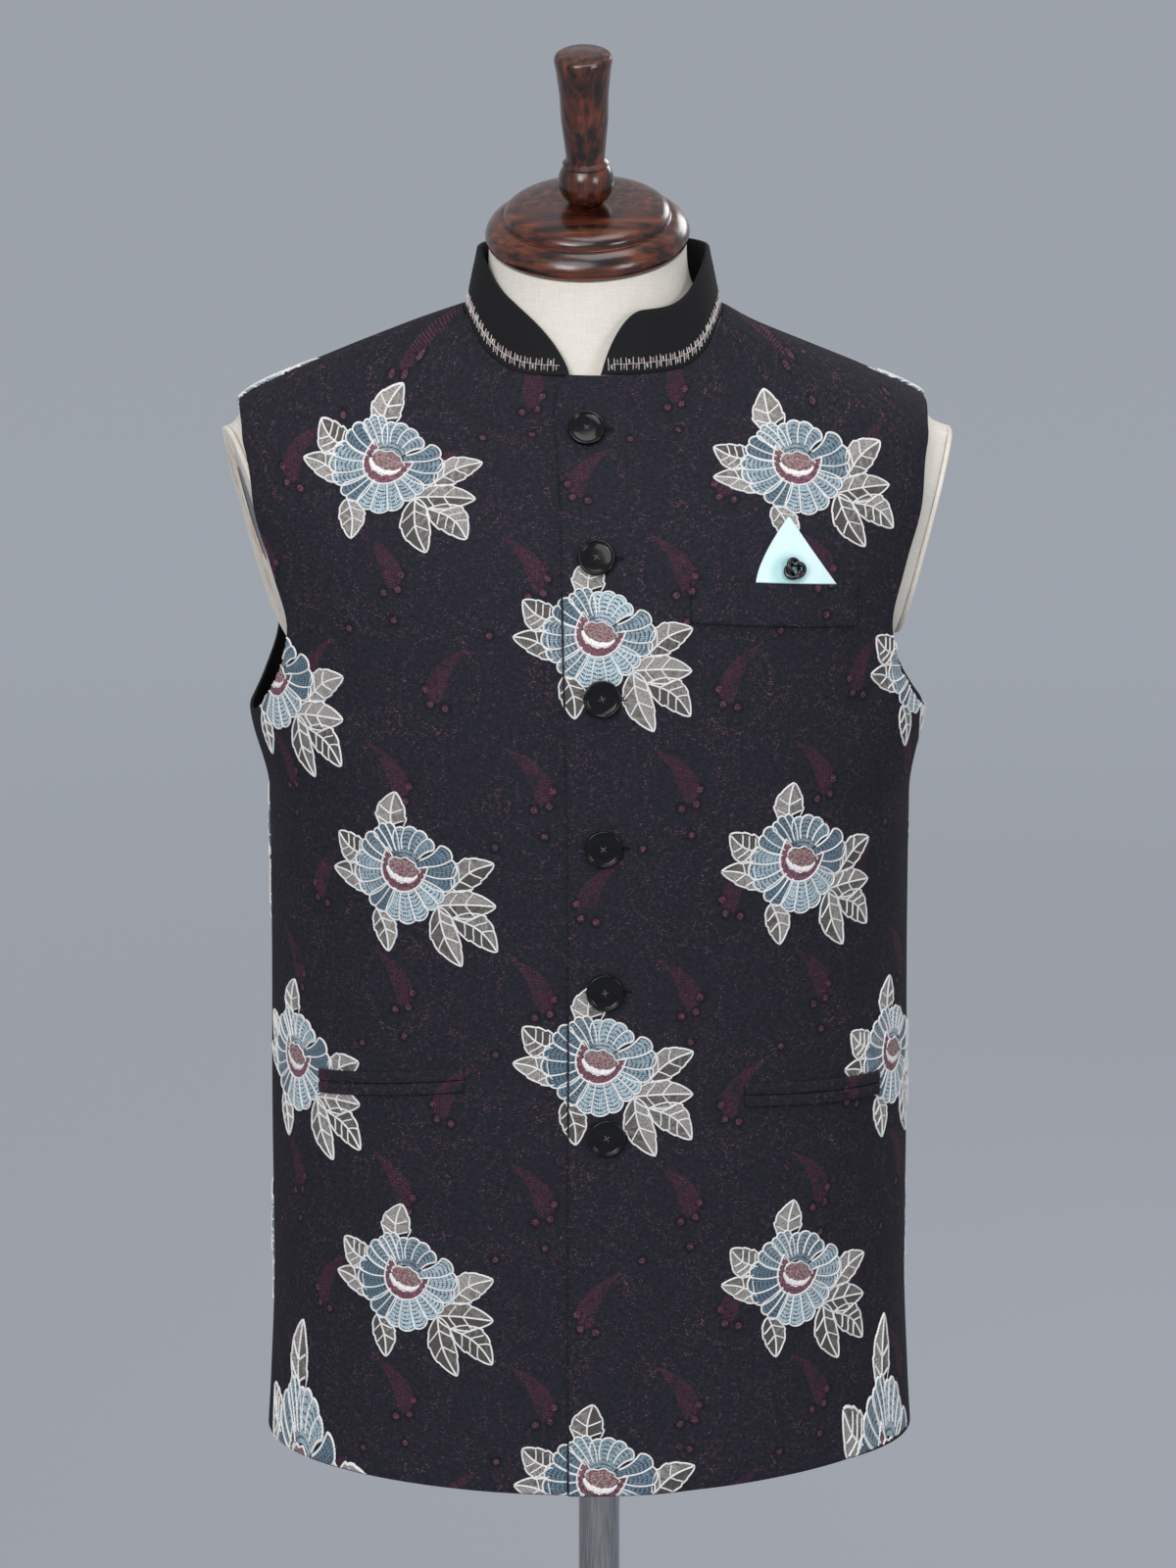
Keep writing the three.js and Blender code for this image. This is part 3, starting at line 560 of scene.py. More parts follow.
specks = threads.rising(0.82, 0.97) * gathered * slub.rising(0.3, 0.6)
worn = cloudy((across * 0.09, up * 0.09, 8.0))
dots = figure * lattice.rising(0.05, 0.55) * threads.rising(0.05, 0.45) * worn.rising(0.22, 0.52)
knotted = knots * (lattice * 0.5 + 0.6).bottom(1.0) * threads.rising(0.0, 0.7)
ground = streaks * 0.6 + slub * 0.4
raised = warp * 0.25 + dots * 0.7 + knots * 1.6 + specks * 0.5 + streaks * 0.5
for name, value in zip(WEAVE_PARTS, (dots, knotted, halos, specks, ground, raised)):
    jacquard_weave.links.new(value.socket, group_out.inputs[name])

CHARCOAL, CHARCOAL_BLUE, HALO = srgb(28, 27, 32), srgb(41, 43, 52), srgb(18, 17, 21)
PLUM, DUSTY_PINK = srgb(112, 56, 80), srgb(134, 88, 108)
jacquard, tree, shader = finish("figured jacquard", CHARCOAL, 0.85, specular_ior_level=0.1)
weave = tree.nodes.new("ShaderNodeGroup")
weave.node_tree = jacquard_weave
for name, value in zip(("Across", "Up"), read_map(tree, "Cloth")):
    tree.links.new(value.socket, weave.inputs[name])
weave_out = {name: Weave(tree, weave.outputs[name]) for name in WEAVE_PARTS}
shade = blend(weave_out["Ground"].rising(0.25, 0.75), CHARCOAL, CHARCOAL_BLUE)
shade = blend(weave_out["Speck"] * 0.55, shade, DUSTY_PINK)
shade = blend(weave_out["Halo"] * 0.5, shade, HALO)
shade = blend(weave_out["Figure"] * 0.95, shade, PLUM)
shade = blend(weave_out["Knot"] * 0.75, shade, DUSTY_PINK)
dye(shader, shade)
raise_by(shader, weave_out["Height"], 0.22, 0.8)

lining, tree, shader = finish("black lining", srgb(24, 23, 26), 0.42, specular_ior_level=0.3)
x, y, z = object_place(tree)
ribs = (z * 5.2 + x * 2.0).math("SINE") * 0.3 + cloudy((x * 0.2, y * 0.2, z * 0.02))
dye(shader, blend(ribs.rising(0.2, 0.9), srgb(20, 19, 22), srgb(34, 33, 37)))
raise_by(shader, ribs, 0.12)

panel_heights = np.concatenate(
    [
        np.array([HEM_SIDE, HEM_SIDE + 1.4, HEM_SIDE + 3.5]),
        np.linspace(HEM_SIDE + 7, UNDERARM - 2, 104),
        UNDERARM + (SHOULDER_TIP - UNDERARM) * (0.5 - 0.5 * np.cos(np.linspace(0, math.pi, 62))),
        np.linspace(SHOULDER_TIP + 3, NECKLINE - 3, 17),
        np.array([NECKLINE - 1.4, NECKLINE]),
    ]
)


def cloth_map(face, angle, height):
    one_side = np.stack(measure(face, angle, height), -1).reshape(-1, 2)
    return {"Cloth": np.concatenate([one_side, one_side])}


def panel(name, face, on_left, first_turn, last_turn, columns):
    shares = np.concatenate([[0, 0.004, 0.012], np.linspace(0.024, 0.976, columns), [0.988, 0.996, 1]])
    height = panel_heights[:, None] + 0 * shares[None, :]
    first, last = first_turn(panel_heights)[:, None], last_turn(panel_heights)[:, None]
    angle = angle_at(first + (last - first) * shares[None, :], height)
    shown = np.where(height == HEM_SIDE, hem_height(angle), height)
    turned_in = np.zeros(height.shape)
    turned_in[[0, -1], :] = turned_in[:, [0, -1]] = 0.75
    outer = cloth_point(on_left, angle, shown, -turned_in)
    inner = cloth_point(on_left, angle, shown, -CLOTH_THICK + turned_in * 0.3)
    points, faces, which = wall(outer, inner)
    made = make_piece(name, points, faces, [jacquard, lining], which, cloth_map(face, angle, shown))
    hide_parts(name)
    return made


def edge_turn(x):
    return lambda height: turn_at(np.arcsin(x / body["front"](height)), height)


def side_turn(face, sign):
    return lambda height: sign * turn_at(arm_angle(height, face), height)


front_left = panel("front_left", "front", True, edge_turn(-OVERLAP), side_turn("front", 1), 72)
front_right = panel("front_right", "front", False, side_turn("front", -1), edge_turn(UNDERLAP), 72)
back = panel(
    "back",
    "back",
    False,
    side_turn("back", 1),
    lambda height: 2 * math.pi - side_turn("back", 1)(height),
    120,
)

# Stand collar: plain black cloth, sewn to the neckline and turned up out of it, with rounded front
# corners that leave the throat open above the top button.
COLLAR_HEIGHT, COLLAR_THICK = 37.0, 2.2
COLLAR_LEFT_END, COLLAR_RIGHT_END = 1.0, 18.0
COLLAR_LEFT_CORNER, COLLAR_RIGHT_CORNER = 30.0, 52.0
COLLAR_LEAN, COLLAR_TURN, COLLAR_SEAM = 0.2, 3.0, 0.65
neck_radius = float(body["front"](NECKLINE))
collar_first = math.asin(COLLAR_LEFT_END / neck_radius)
collar_last = 2 * math.pi - math.asin(COLLAR_RIGHT_END / neck_radius)


def collar_height(share):
    corner = np.where(share < 0.5, COLLAR_LEFT_CORNER, COLLAR_RIGHT_CORNER)
    from_end = np.minimum(share, 1 - share) * 2 * math.pi * neck_radius
    in_corner = 1 - np.minimum(from_end, corner) / corner
    return np.maximum(1.2, COLLAR_HEIGHT * (1 - in_corner**2) ** 0.75)


def collar_point(share, reach, out):
    angle = collar_first + (collar_last - collar_first) * share
    at, across, up, normal = body_frame(angle, np.full_like(angle, NECKLINE))
    lifted = np.where((at[..., 0] > 0) & (at[..., 1] < 0), lap_lift(at[..., 0]), 0) + fold_depth(at)
    inwards = unit(np.stack([body["sway"](NECKLINE) - at[..., 0], 8.0 - at[..., 1], 0 * angle], -1))
    standing = unit(np.array([0, 0, 1.0]) + inwards * COLLAR_LEAN)
    point = at + normal * lifted[..., None] + up * COLLAR_SEAM
    for i in range(12):
        share_up = ease(reach * (i + 0.5) / 12, 0, COLLAR_TURN)[..., None]
        heading = unit(up * (1 - share_up) + standing * share_up)
        point = point + heading * (reach / 12)[..., None]
    return point + unit(np.cross(across, heading)) * np.asarray(out)[..., None]


black_cloth, tree, shader = finish(
    "plain black cloth", srgb(27, 27, 30), 0.8, specular_ior_level=0.2, sheen_weight=0.02
)
x, y, z = object_place(tree)
twill = ((x + z * 1.6) * 4.2).math("SINE") * 0.35 + cloudy((x * 0.9, y * 0.9, z * 0.9), 3.0)
dye(shader, blend(twill.rising(0.1, 0.9), srgb(14, 14, 17), srgb(27, 27, 31)))
raise_by(shader, twill, 0.2, 0.7)

collar_shares = np.linspace(0, 1, 261)
collar_shares = collar_shares - 0.1 / (2 * math.pi) * np.sin(2 * math.pi * collar_shares) * 2
collar_rows = np.array([0, 0.03, 0.06, 0.1, 0.16, 0.24, 0.34, 0.46, 0.58, 0.7, 0.82, 0.91, 0.97, 1.0])
reach = collar_height(collar_shares)[None, :] * collar_rows[:, None]
share = collar_shares[None, :] + 0 * reach
rolled = np.zeros(reach.shape)
rolled[[0, -1], :] = rolled[:, [0, -1]] = 0.8
outside = collar_point(share, reach, -rolled)
points, faces, _ = wall(outside, collar_point(share, reach, rolled * 0.3 - COLLAR_THICK))
collar = make_piece("collar", points, faces, [black_cloth])
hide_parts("collar")

# Stitching along the foot of the collar: long off-white bars, with short thick ones between them in
# dusty pink and off-white, above and below a thin thread that runs through them all.
STITCH_PITCH, STITCH_LOW, STITCH_TALL, STITCH_SHORT = 3.7, 2.2, 7.4, 2.5


def sewn_thread(line, side, away, wide, high):
    """A half-round thread along line, with its edges to both sides of it and its back standing away"""
    offsets = ((-0.5, -0.12), (-0.34, 0.7), (0.0, 1.0), (0.34, 0.7), (0.5, -0.12))
    rings = [line + side * off * wide + away * up * high for off, up in offsets]
    points = np.stack(rings, 1)
    i, j = np.arange(len(line) - 1)[:, None], np.arange(len(offsets) - 1)[None, :]
    k = i * len(offsets) + j
    faces = np.stack([k, k + 1, k + 1 + len(offsets), k + len(offsets)], -1).reshape(-1, 4)
    return points.reshape(-1, 3), faces


def thread_finish(name, dark, light):
    made, tree, shader = finish(name, light, 0.6, sheen_weight=0.25)
    x, y, z = object_place(tree)
    twist = ((x + y * 0.7 + z) * 7.5).math("SINE")
    fuzz = cloudy((x * 1.2, y * 1.2, z * 1.2))
    dye(shader, blend((twist * 0.3 + fuzz).rising(0.1, 0.8), dark, light))
    raise_by(shader, twist, 0.12, 0.7)
    return made


white_thread = thread_finish("off-white thread", srgb(158, 152, 148), srgb(224, 219, 214))
pink_thread = thread_finish("dusty pink thread", srgb(118, 84, 94), srgb(178, 140, 148))
seam_shares = np.linspace(0, 1, 601)
seam_line = collar_point(seam_shares, np.full(601, STITCH_LOW + STITCH_TALL / 2), np.zeros(601))
seam_length = np.concatenate([[0], np.cumsum(np.linalg.norm(np.diff(seam_line, axis=0), axis=1))])
stitch_points, stitch_faces, stitch_which = [], [], []


def add_stitch(share0, share1, low, high, wide, thick, which, steps=5):
    t = np.linspace(0, 1, steps)
    share, reach = share0 + (share1 - share0) * t, low + (high - low) * t
    sunk = np.where((t == 0) | (t == 1), -0.35, 0.0)
    line = collar_point(share, reach, sunk)
    away = unit(collar_point(share, reach, sunk + 1.0) - line)
    side = unit(np.cross(unit(np.gradient(line, axis=0)), away))
    points, faces = sewn_thread(line, side, away, wide, thick)
    stitch_faces.extend((faces + sum(len(p) for p in stitch_points)).tolist())
    stitch_which.extend([which] * len(faces))
    stitch_points.append(points)


stitch_draw = np.random.default_rng(17)
bars = int((seam_length[-1] - 8.0) / STITCH_PITCH)
for number in range(bars):
    along = 4.0 + STITCH_PITCH * number + stitch_draw.uniform(-0.25, 0.25)
    share = float(np.interp(along, seam_length, seam_shares))
    half = float(np.interp(along + STITCH_PITCH / 2, seam_length, seam_shares))
    lean = stitch_draw.uniform(-0.0012, 0.0012)
    low = STITCH_LOW + stitch_draw.uniform(-0.4, 0.4)
    add_stitch(share, share + lean, low, low + STITCH_TALL, 0.62, 0.6, 0)
    middle = STITCH_LOW + STITCH_TALL / 2
    short_low = middle + 0.4 if number % 2 else middle - 0.4 - STITCH_SHORT
    add_stitch(half, half + lean, short_low, short_low + STITCH_SHORT, 1.0, 0.7, 1 if number % 3 else 0)
middle = STITCH_LOW + STITCH_TALL / 2
add_stitch(seam_shares[8], seam_shares[-9], middle, middle, 0.5, 0.75, 0, steps=420)
stitch_points = np.concatenate(stitch_points)
stitch_threads = [white_thread, pink_thread]
make_piece("collar_stitching", stitch_points, stitch_faces, stitch_threads, stitch_which, crisp=70)

# Chest welt and hip jets: strips of the same jacquard, matched to the pattern of the front that they
# are sewn on, with turned edges. Each hip pocket has two jets, one above its mouth and one below.
WELT_LEFT, WELT_RIGHT, WELT_TOP, WELT_FALL, WELT_HEIGHT, WELT_THICK = 54.0, 152.0, 1296.0, 8.0, 24.0, 2.0
JET_HEIGHT, JET_THICK, JET_GAP = 7.0, 1.6, 0.3
JETS = (  # node, on the left front or not, then the pocket's ends and the height of its mouth there
    ("hip_jet_left_upper", True, 86, 169, 998, 991, 0),
    ("hip_jet_left_lower", True, 86, 169, 998, 991, JET_HEIGHT + JET_GAP),
    ("hip_jet_right_upper", False, -163, -79, 997, 1009, 0),
    ("hip_jet_right_lower", False, -163, -79, 997, 1009, JET_HEIGHT + JET_GAP),
)


def welt_top(x):
    return WELT_TOP - WELT_FALL * (x - WELT_LEFT) / (WELT_RIGHT - WELT_LEFT)


def edged(count):
    close = np.array([0, 0.5, 1.2]) / count
    return np.concatenate([close, np.linspace(2 / count, 1 - 2 / count, count), 1 - close[::-1]])


def lay_on_front(name, on_left, x, z, thick, finishes, soft=0.55, crown=0.0):
    angle, height = find_on_front(x, z)
    turned_in = np.zeros(x.shape)
    turned_in[[0, -1], :] = turned_in[:, [0, -1]] = soft
    outer = cloth_point(on_left, angle, height, LIE + thick - turned_in + crown)
    inner = cloth_point(on_left, angle, height, np.full(x.shape, LIE))
    points, faces, _ = wall(outer, inner)
    made = make_piece(name, points, faces, finishes, None, cloth_map("front", angle, height))
    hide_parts(name)
    return made


s, t = np.meshgrid(edged(60), edged(14))
x = WELT_LEFT + (WELT_RIGHT - WELT_LEFT) * s
welt = lay_on_front("chest_welt", True, x, welt_top(x) - WELT_HEIGHT * (1 - t), WELT_THICK, [jacquard])
for name, on_left, x0, x1, top0, top1, drop in JETS:
    s, t = np.meshgrid(edged(50), edged(5))
    x, z = x0 + (x1 - x0) * s, top0 + (top1 - top0) * s - drop - JET_HEIGHT * (1 - t)
    jet = lay_on_front(name, on_left, x, z, JET_THICK, [jacquard], 0.7, 0.35 * np.sin(math.pi * t))

# Square of pale aqua satin, folded to a point that stands out of the chest pocket, with a soft curve
# along its left edge, a slight hollow where the stud presses it in, and a painted shadow of the stud on it.
SQUARE_LEFT, SQUARE_RIGHT, SQUARE_APEX, SQUARE_RISE, SQUARE_THICK = 92.0, 140.0, 112.0, 37.0, 1.2
STUD_ACROSS, STUD_ABOVE = 113.5, 8.5
satin, tree, shader = finish("aqua satin", srgb(205, 236, 239), 0.34, sheen_weight=0.3, sheen_roughness=0.3)
u, v = read_map(tree, "Cloth")
floats = cloudy((u * 0.5, v * 6.0))
# painted shadow of the stud: a round spot by the stud where the satin's colour goes to a darker aqua
shadow = spot(u * 0.9, v, 104.0, float(measure("front", *find_on_front(STUD_ACROSS, 1299.0))[1]), 13.0)
tone = blend(floats.rising(0.3, 0.7), srgb(198, 230, 234), srgb(222, 243, 244))
dye(shader, blend(shadow * 0.5, tone, srgb(120, 188, 190)))
raise_by(shader, floats, 0.08, 0.6)
s, t = np.meshgrid(edged(40), edged(40))
left = SQUARE_LEFT + (SQUARE_APEX - 0.4 - SQUARE_LEFT) * t**1.5
right = SQUARE_RIGHT + (SQUARE_APEX + 0.4 - SQUARE_RIGHT) * t
x = left + (right - left) * s
z = welt_top(x) + 0.5 + SQUARE_RISE * t
ripple = 0.5 * np.sin(math.pi * s) * (1 - t) + 0.35 * np.exp(-(((x - 103) / 5) ** 2))
ripple = ripple - 0.3 * np.exp(-(((x - 122) / 6) ** 2)) * (1 - t)
square = lay_on_front("pocket_square", True, x, z, SQUARE_THICK, [satin], 0.5, ripple * 0.6)

# Knot stud: one polished dark metal wire, bent into a ring that knots over itself three times. It is pinned
# through the square above the welt.
STUD_RING, STUD_TWIST, STUD_WIRE = 4.3, 1.6, 1.3


def tube_along(line, radius, sides, closed=True):
    ahead = np.roll(line, -1, axis=0) - np.roll(line, 1, axis=0)
    if not closed:
        ahead[0], ahead[-1] = line[1] - line[0], line[-1] - line[-2]
    ahead = unit(ahead)
    away = unit(np.cross(ahead, np.array([0.21, 0.13, 0.97])))
    other = np.cross(ahead, away)
    turn = np.linspace(0, 2 * math.pi, sides, endpoint=False)
    ring = away[:, None] * np.cos(turn)[None, :, None] + other[:, None] * np.sin(turn)[None, :, None]
    points = line[:, None] + ring * np.broadcast_to(np.asarray(radius, float), (len(line),))[:, None, None]
    count = len(line) if closed else len(line) - 1
    i, j = np.arange(count)[:, None], np.arange(sides)[None, :]
    k, above, beside = i * sides + j, (i + 1) % len(line) * sides + j, i * sides + (j + 1) % sides
    diagonal = (i + 1) % len(line) * sides + (j + 1) % sides
    faces = np.stack([k, above, diagonal, beside], -1).reshape(-1, 4)
    return points.reshape(-1, 3), faces


def seat_on_front(points, on_left, x, z, out):
    angle, height = find_on_front(np.array([x]), np.array([z]))
    normal = Vector(body_frame(angle, height)[3][0])
    turn = Vector((0, 0, 1)).rotation_difference(normal)
    seat = Vector(cloth_point(on_left, angle, height, np.array([out]))[0])
    return np.asarray(points) @ np.array(turn.to_matrix()).T + np.array(seat)


gunmetal, tree, shader = finish("gunmetal plate", srgb(70, 70, 74), 0.22, 1.0)
x, y, z = object_place(tree)
rubbed = cloudy((x * 1.6, y * 1.6, z * 1.6), 3.0)
dye(shader, blend(rubbed.rising(0.35, 0.75), srgb(54, 54, 58), srgb(104, 103, 106)), rubbed * 0.25 + 0.1)
turn = np.linspace(0, 2 * math.pi, 180, endpoint=False)
wire = np.stack(
    [
        (STUD_RING + STUD_TWIST * np.cos(3 * turn)) * np.cos(2 * turn),
        (STUD_RING + STUD_TWIST * np.cos(3 * turn)) * np.sin(2 * turn),
        STUD_TWIST * np.sin(3 * turn),
    ],
    -1,
)
points, faces = tube_along(wire, STUD_WIRE, 16)
stud_out = LIE + SQUARE_THICK + 0.3 + STUD_TWIST + STUD_WIRE
points = seat_on_front(points, True, STUD_ACROSS, float(welt_top(STUD_ACROSS)) + STUD_ABOVE, stud_out)
stud = make_piece("knot_stud", points, faces, [gunmetal], crisp=80)
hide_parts("knot_stud")

# Buttons: six discs of gloss black horn, dished inside a raised rim, with four holes close together, shown
# as flat dark discs of painted shade on the dish, and black thread that crosses between them.
BUTTON_RADIUS, BUTTON_THICK, BUTTON_RIM, BUTTON_DISH = 11.0, 3.6, 1.6, 1.1
BUTTON_PLACES = ((-5, 1377), (-1, 1308), (1.5, 1229.5), (2, 1142.5), (3, 1057), (4, 969.5))
BUTTON_TURNS = (38, 52, 20, 47, 9, 33)  # degrees that each was sewn on at
HOLE_OFF, HOLE_RADIUS = 1.75, 0.85


def ringed(rings, *ends):
    """Joins each ring to the next; closes both ends with fans, or without ends joins the last to the first"""
    rows, count = rings.shape[:2]
    i, j = np.arange(rows - 1)[:, None], np.arange(count)[None, :]
    k, beside = i * count + j, i * count + (j + 1) % count
    faces = np.stack([k, beside, beside + count, k + count], -1).reshape(-1, 4).tolist()
    points, last = rings.reshape(-1, 3), (rows - 1) * count
    if not ends:
        faces += [[last + j, last + (j + 1) % count, (j + 1) % count, j] for j in range(count)]
        return points, faces
    faces += [[len(points), (j + 1) % count, j] for j in range(count)]
    faces += [[len(points) + 1, last + j, last + (j + 1) % count] for j in range(count)]
    return np.concatenate([points, ends]), faces


def turned_piece(profile, sides):
    profile = np.array(profile, float)
    turn = np.linspace(0, 2 * math.pi, sides, endpoint=False)
    filled = profile[0, 0] == 0 and profile[-1, 0] == 0
    out, up = (profile[1:-1] if filled else profile).T[:, :, None]
    ends = [(0, 0, profile[k, 1]) for k in (0, -1)] if filled else []
    return ringed(np.stack([out * np.cos(turn), out * np.sin(turn), up + 0 * turn], -1), *ends)


horn, tree, shader = finish(
    "gloss black horn", srgb(9, 9, 11), 0.16, specular_ior_level=0.28, coat_weight=0.04, coat_roughness=0.05
)
x, y, z = object_place(tree)
grain = cloudy((x * 0.3, y * 0.3, z * 1.4), 3.0)
dye(shader, blend(grain.rising(0.4, 0.8), srgb(7, 7, 9), srgb(19, 18, 20)), grain * 0.1 + 0.06)
black_thread, tree, shader = finish("black thread", srgb(44, 43, 46), 0.55, sheen_weight=0.2)
x, y, z = object_place(tree)
ply = ((x + y + z) * 9.0).math("SINE")
dye(shader, blend(ply.rising(-1.0, 1.0), srgb(30, 29, 32), srgb(104, 102, 108)))
raise_by(shader, ply, 0.1)
# painted shade for the button holes: a near-black finish for the discs that stand in for them
hole_painted_shade, tree, shader = finish("button hole shadow", (0.002, 0.002, 0.002), 0.9)

inner_rim = BUTTON_RADIUS - BUTTON_RIM
button_profile = [
    (0, 0),
    (BUTTON_RADIUS - 2.2, 0),
    (BUTTON_RADIUS - 0.9, 0.35),
    (BUTTON_RADIUS - 0.2, 1.0),
    (BUTTON_RADIUS, 1.8),
    (BUTTON_RADIUS, BUTTON_THICK - 1.1),
    (BUTTON_RADIUS - 0.15, BUTTON_THICK - 0.55),
    (BUTTON_RADIUS - 0.45, BUTTON_THICK - 0.16),
    (BUTTON_RADIUS - 0.85, BUTTON_THICK),
    (BUTTON_RADIUS - 1.25, BUTTON_THICK - 0.1),
    (inner_rim, BUTTON_THICK - 0.4),
    (inner_rim - 0.5, BUTTON_THICK - 0.85),
    (inner_rim - 1.2, BUTTON_THICK - BUTTON_DISH),
    (5.0, BUTTON_THICK - BUTTON_DISH - 0.12),
    (0, BUTTON_THICK - BUTTON_DISH - 0.2),
]


def hole_place(sewn, quarter):
    turned_by = math.radians(sewn + 90 * quarter)
    return HOLE_OFF * np.array([math.cos(turned_by), math.sin(turned_by), 0])


for number, ((x, z), sewn) in enumerate(zip(BUTTON_PLACES, BUTTON_TURNS), 1):
    points, faces = turned_piece(button_profile, 64)
    which = [0] * len(faces)
    dish = BUTTON_THICK - BUTTON_DISH - 0.17
    # each hole is a flat near-black disc of painted shade laid just above the dish, not a cut
    for quarter in range(4):
        turn = np.linspace(0, 2 * math.pi, 14, endpoint=False)
        disc = np.stack([HOLE_RADIUS * np.cos(turn), HOLE_RADIUS * np.sin(turn), 0 * turn + dish + 0.03], -1)
        disc = disc + hole_place(sewn, quarter)
        faces.append(list(range(len(points), len(points) + 14)))
        which.append(1)
        points = np.concatenate([points, disc])
    for strand, (from_hole, to_hole) in enumerate(((0, 2), (1, 3), (0, 2), (1, 3))):
        t = np.linspace(0, 1, 9)
        line = np.outer(1 - t, hole_place(sewn, from_hole)) + np.outer(t, hole_place(sewn, to_hole))
        line[:, 2] += dish + 0.1 + (0.75 + 0.12 * strand) * np.sin(math.pi * t)
        line[:, 0] += (strand // 2) * 0.45 - 0.2
        strand_points, strand_faces = tube_along(line, 0.24, 6, closed=False)
        faces += (strand_faces + len(points)).tolist()
        which += [2] * len(strand_faces)
        points = np.concatenate([points, strand_points])
    points = seat_on_front(points, True, x, z, LIE + 0.25)
    button_finishes = [horn, hole_painted_shade, black_thread]
    button = make_piece(f"button_{number}", points, faces, button_finishes, which, crisp=60)
    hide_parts(f"button_{number}")

# Buttonholes: a slit through the left front behind each button, bound all round with black buttonhole
# stitch, of which the outer end shows beside the button.
SLIT_FROM, SLIT_TO, SLIT_TALL, SLIT_HIGH = -11.5, 16.0, 2.6, 0.45
bound, tree, shader = finish("black buttonhole stitch", srgb(15, 15, 17), 0.7, specular_ior_level=0.2)
u, v = read_map(tree, "Cloth")
loops = (u * 7.0).math("SINE")
dye(shader, blend(loops.rising(-0.6, 0.8), srgb(8, 8, 10), srgb(34, 33, 38)))
raise_by(shader, loops, 0.2)
slit_points, slit_faces, slit_cloth = [], [], []
for button_x, button_z in BUTTON_PLACES:
    s, t = np.meshgrid(edged(24), edged(8))
    half_tall = SLIT_TALL / 2 * np.minimum(1, np.sqrt(1 - (2 * s - 1) ** 8) + 0.15)
    x = button_x + SLIT_FROM + (SLIT_TO - SLIT_FROM) * s
    angle, height = find_on_front(x, button_z + half_tall * (2 * t - 1))
    ridge = SLIT_HIGH * np.abs(np.sin(2 * math.pi * t)) ** 0.7
    outer = cloth_point(True, angle, height, 0.06 + ridge)
    points, faces, _ = wall(outer, cloth_point(True, angle, height, 0 * ridge - 0.3))
    slit_faces += (faces + sum(len(p) for p in slit_points)).tolist()
    slit_points.append(points)
    slit_cloth.append(cloth_map("front", angle, height)["Cloth"])
slit_map = {"Cloth": np.concatenate(slit_cloth)}
make_piece("buttonhole_stitching", np.concatenate(slit_points), slit_faces, [bound], None, slit_map)

# Embroidered flowers: worked by machine in shaded blue and taupe thread, with a rose heart and raised
# off-white cords round every petal and leaf. They repeat over the cloth in staggered rows, and the
# panels' cut edges cut through them.
PETALS = (  # first and last angle, reach, lobes, then how pale it is
    (-27, 33, 33.0, 3, 0.35),
    (128, 160, 31.5, 2, 0.25),
    (33, 104, 27.0, 4, 0.55),
    (100, 132, 30.5, 3, 0.3),
    (158, 216, 34.0, 3, 0.25),
    (214, 244, 32.5, 2, 0.15),
    (298, 334, 30.0, 2, 0.8),
    (242, 300, 33.0, 3, 0.95),
)
LEAVES = (  # foot and tip, width, how much it bows, teeth down each side, veins, then how pale it is
    (-6.5, 21.0, -3.0, 46.0, 19.0, 1.0, 4, 2, 0.6),
    (-24.0, 7.0, -45.0, 19.5, 18.0, 1.5, 4, 3, 0.5),
    (-25.0, -13.0, -50.5, -2.0, 15.0, -1.5, 3, 2, 0.55),
    (-19.5, -25.0, -13.5, -50.0, 15.0, 1.0, 4, 2, 0.5),
    (30.0, -10.5, 55.5, 4.5, 17.0, 1.5, 5, 2, 0.65),
    (29.5, -28.5, 55.0, -48.0, 17.5, 2.0, 4, 3, 0.4),
    (20.5, -22.0, 33.0, -57.0, 17.0, -1.5, 4, 2, 0.45),
    (20.0, -21.0, 55.5, -21.0, 17.0, 0.5, 3, 2, 0.6),
)
CORD_WIDE, CORD_HIGH, CORD_STEP = 1.15, 0.75, 1.3
TUCKED = 0.8  # how far a leaf's foot goes down under the petals
HEART_REACH = 12.4  # where the petals' cords begin, at the edge of the heart
PETAL_ROOT = 8.5  # where the petals themselves begin, under the heart
HEART_TILT = math.radians(-14)


def patch(at, rows, columns, reading):
    s, t = np.meshgrid(np.linspace(0, 1, rows + 1), np.linspace(0, 1, columns + 1), indexing="ij")
    i, j = np.arange(rows)[:, None], np.arange(columns)[None, :]
    k = i * (columns + 1) + j
    faces = np.stack([k, k + columns + 1, k + columns + 2, k + 1], -1).reshape(-1, 4)
    return at(s, t).reshape(-1, 3), faces, reading(s, t).reshape(-1, 2)


def cord(at, s0, t0, s1, t1, wide=CORD_WIDE):
    rough = at(np.linspace(s0, s1, 30), np.linspace(t0, t1, 30))
    length = np.concatenate([[0], np.cumsum(np.linalg.norm(np.diff(rough, axis=0), axis=1))])
    count = max(4, int(length[-1] / CORD_STEP) + 1)
    share = np.interp(np.linspace(0, length[-1], count), length, np.linspace(0, 1, 30))
    line = at(s0 + (s1 - s0) * share, t0 + (t1 - t0) * share)
    ahead = np.gradient(line[:, :2], axis=0)
    ahead = ahead / np.maximum(np.linalg.norm(ahead, axis=1, keepdims=True), 1e-6)
    side = np.column_stack([-ahead[:, 1], ahead[:, 0], 0 * ahead[:, 0]])
    away = np.tile([0.0, 0.0, 1.0], (count, 1))
    points, faces = sewn_thread(line, side, away, wide, CORD_HIGH)
    round_it, along_it = np.linspace(0, wide, 5), np.linspace(0, length[-1], count)
    reading = np.column_stack([np.tile(round_it, count), np.repeat(along_it, 5)])
    return points, faces, reading


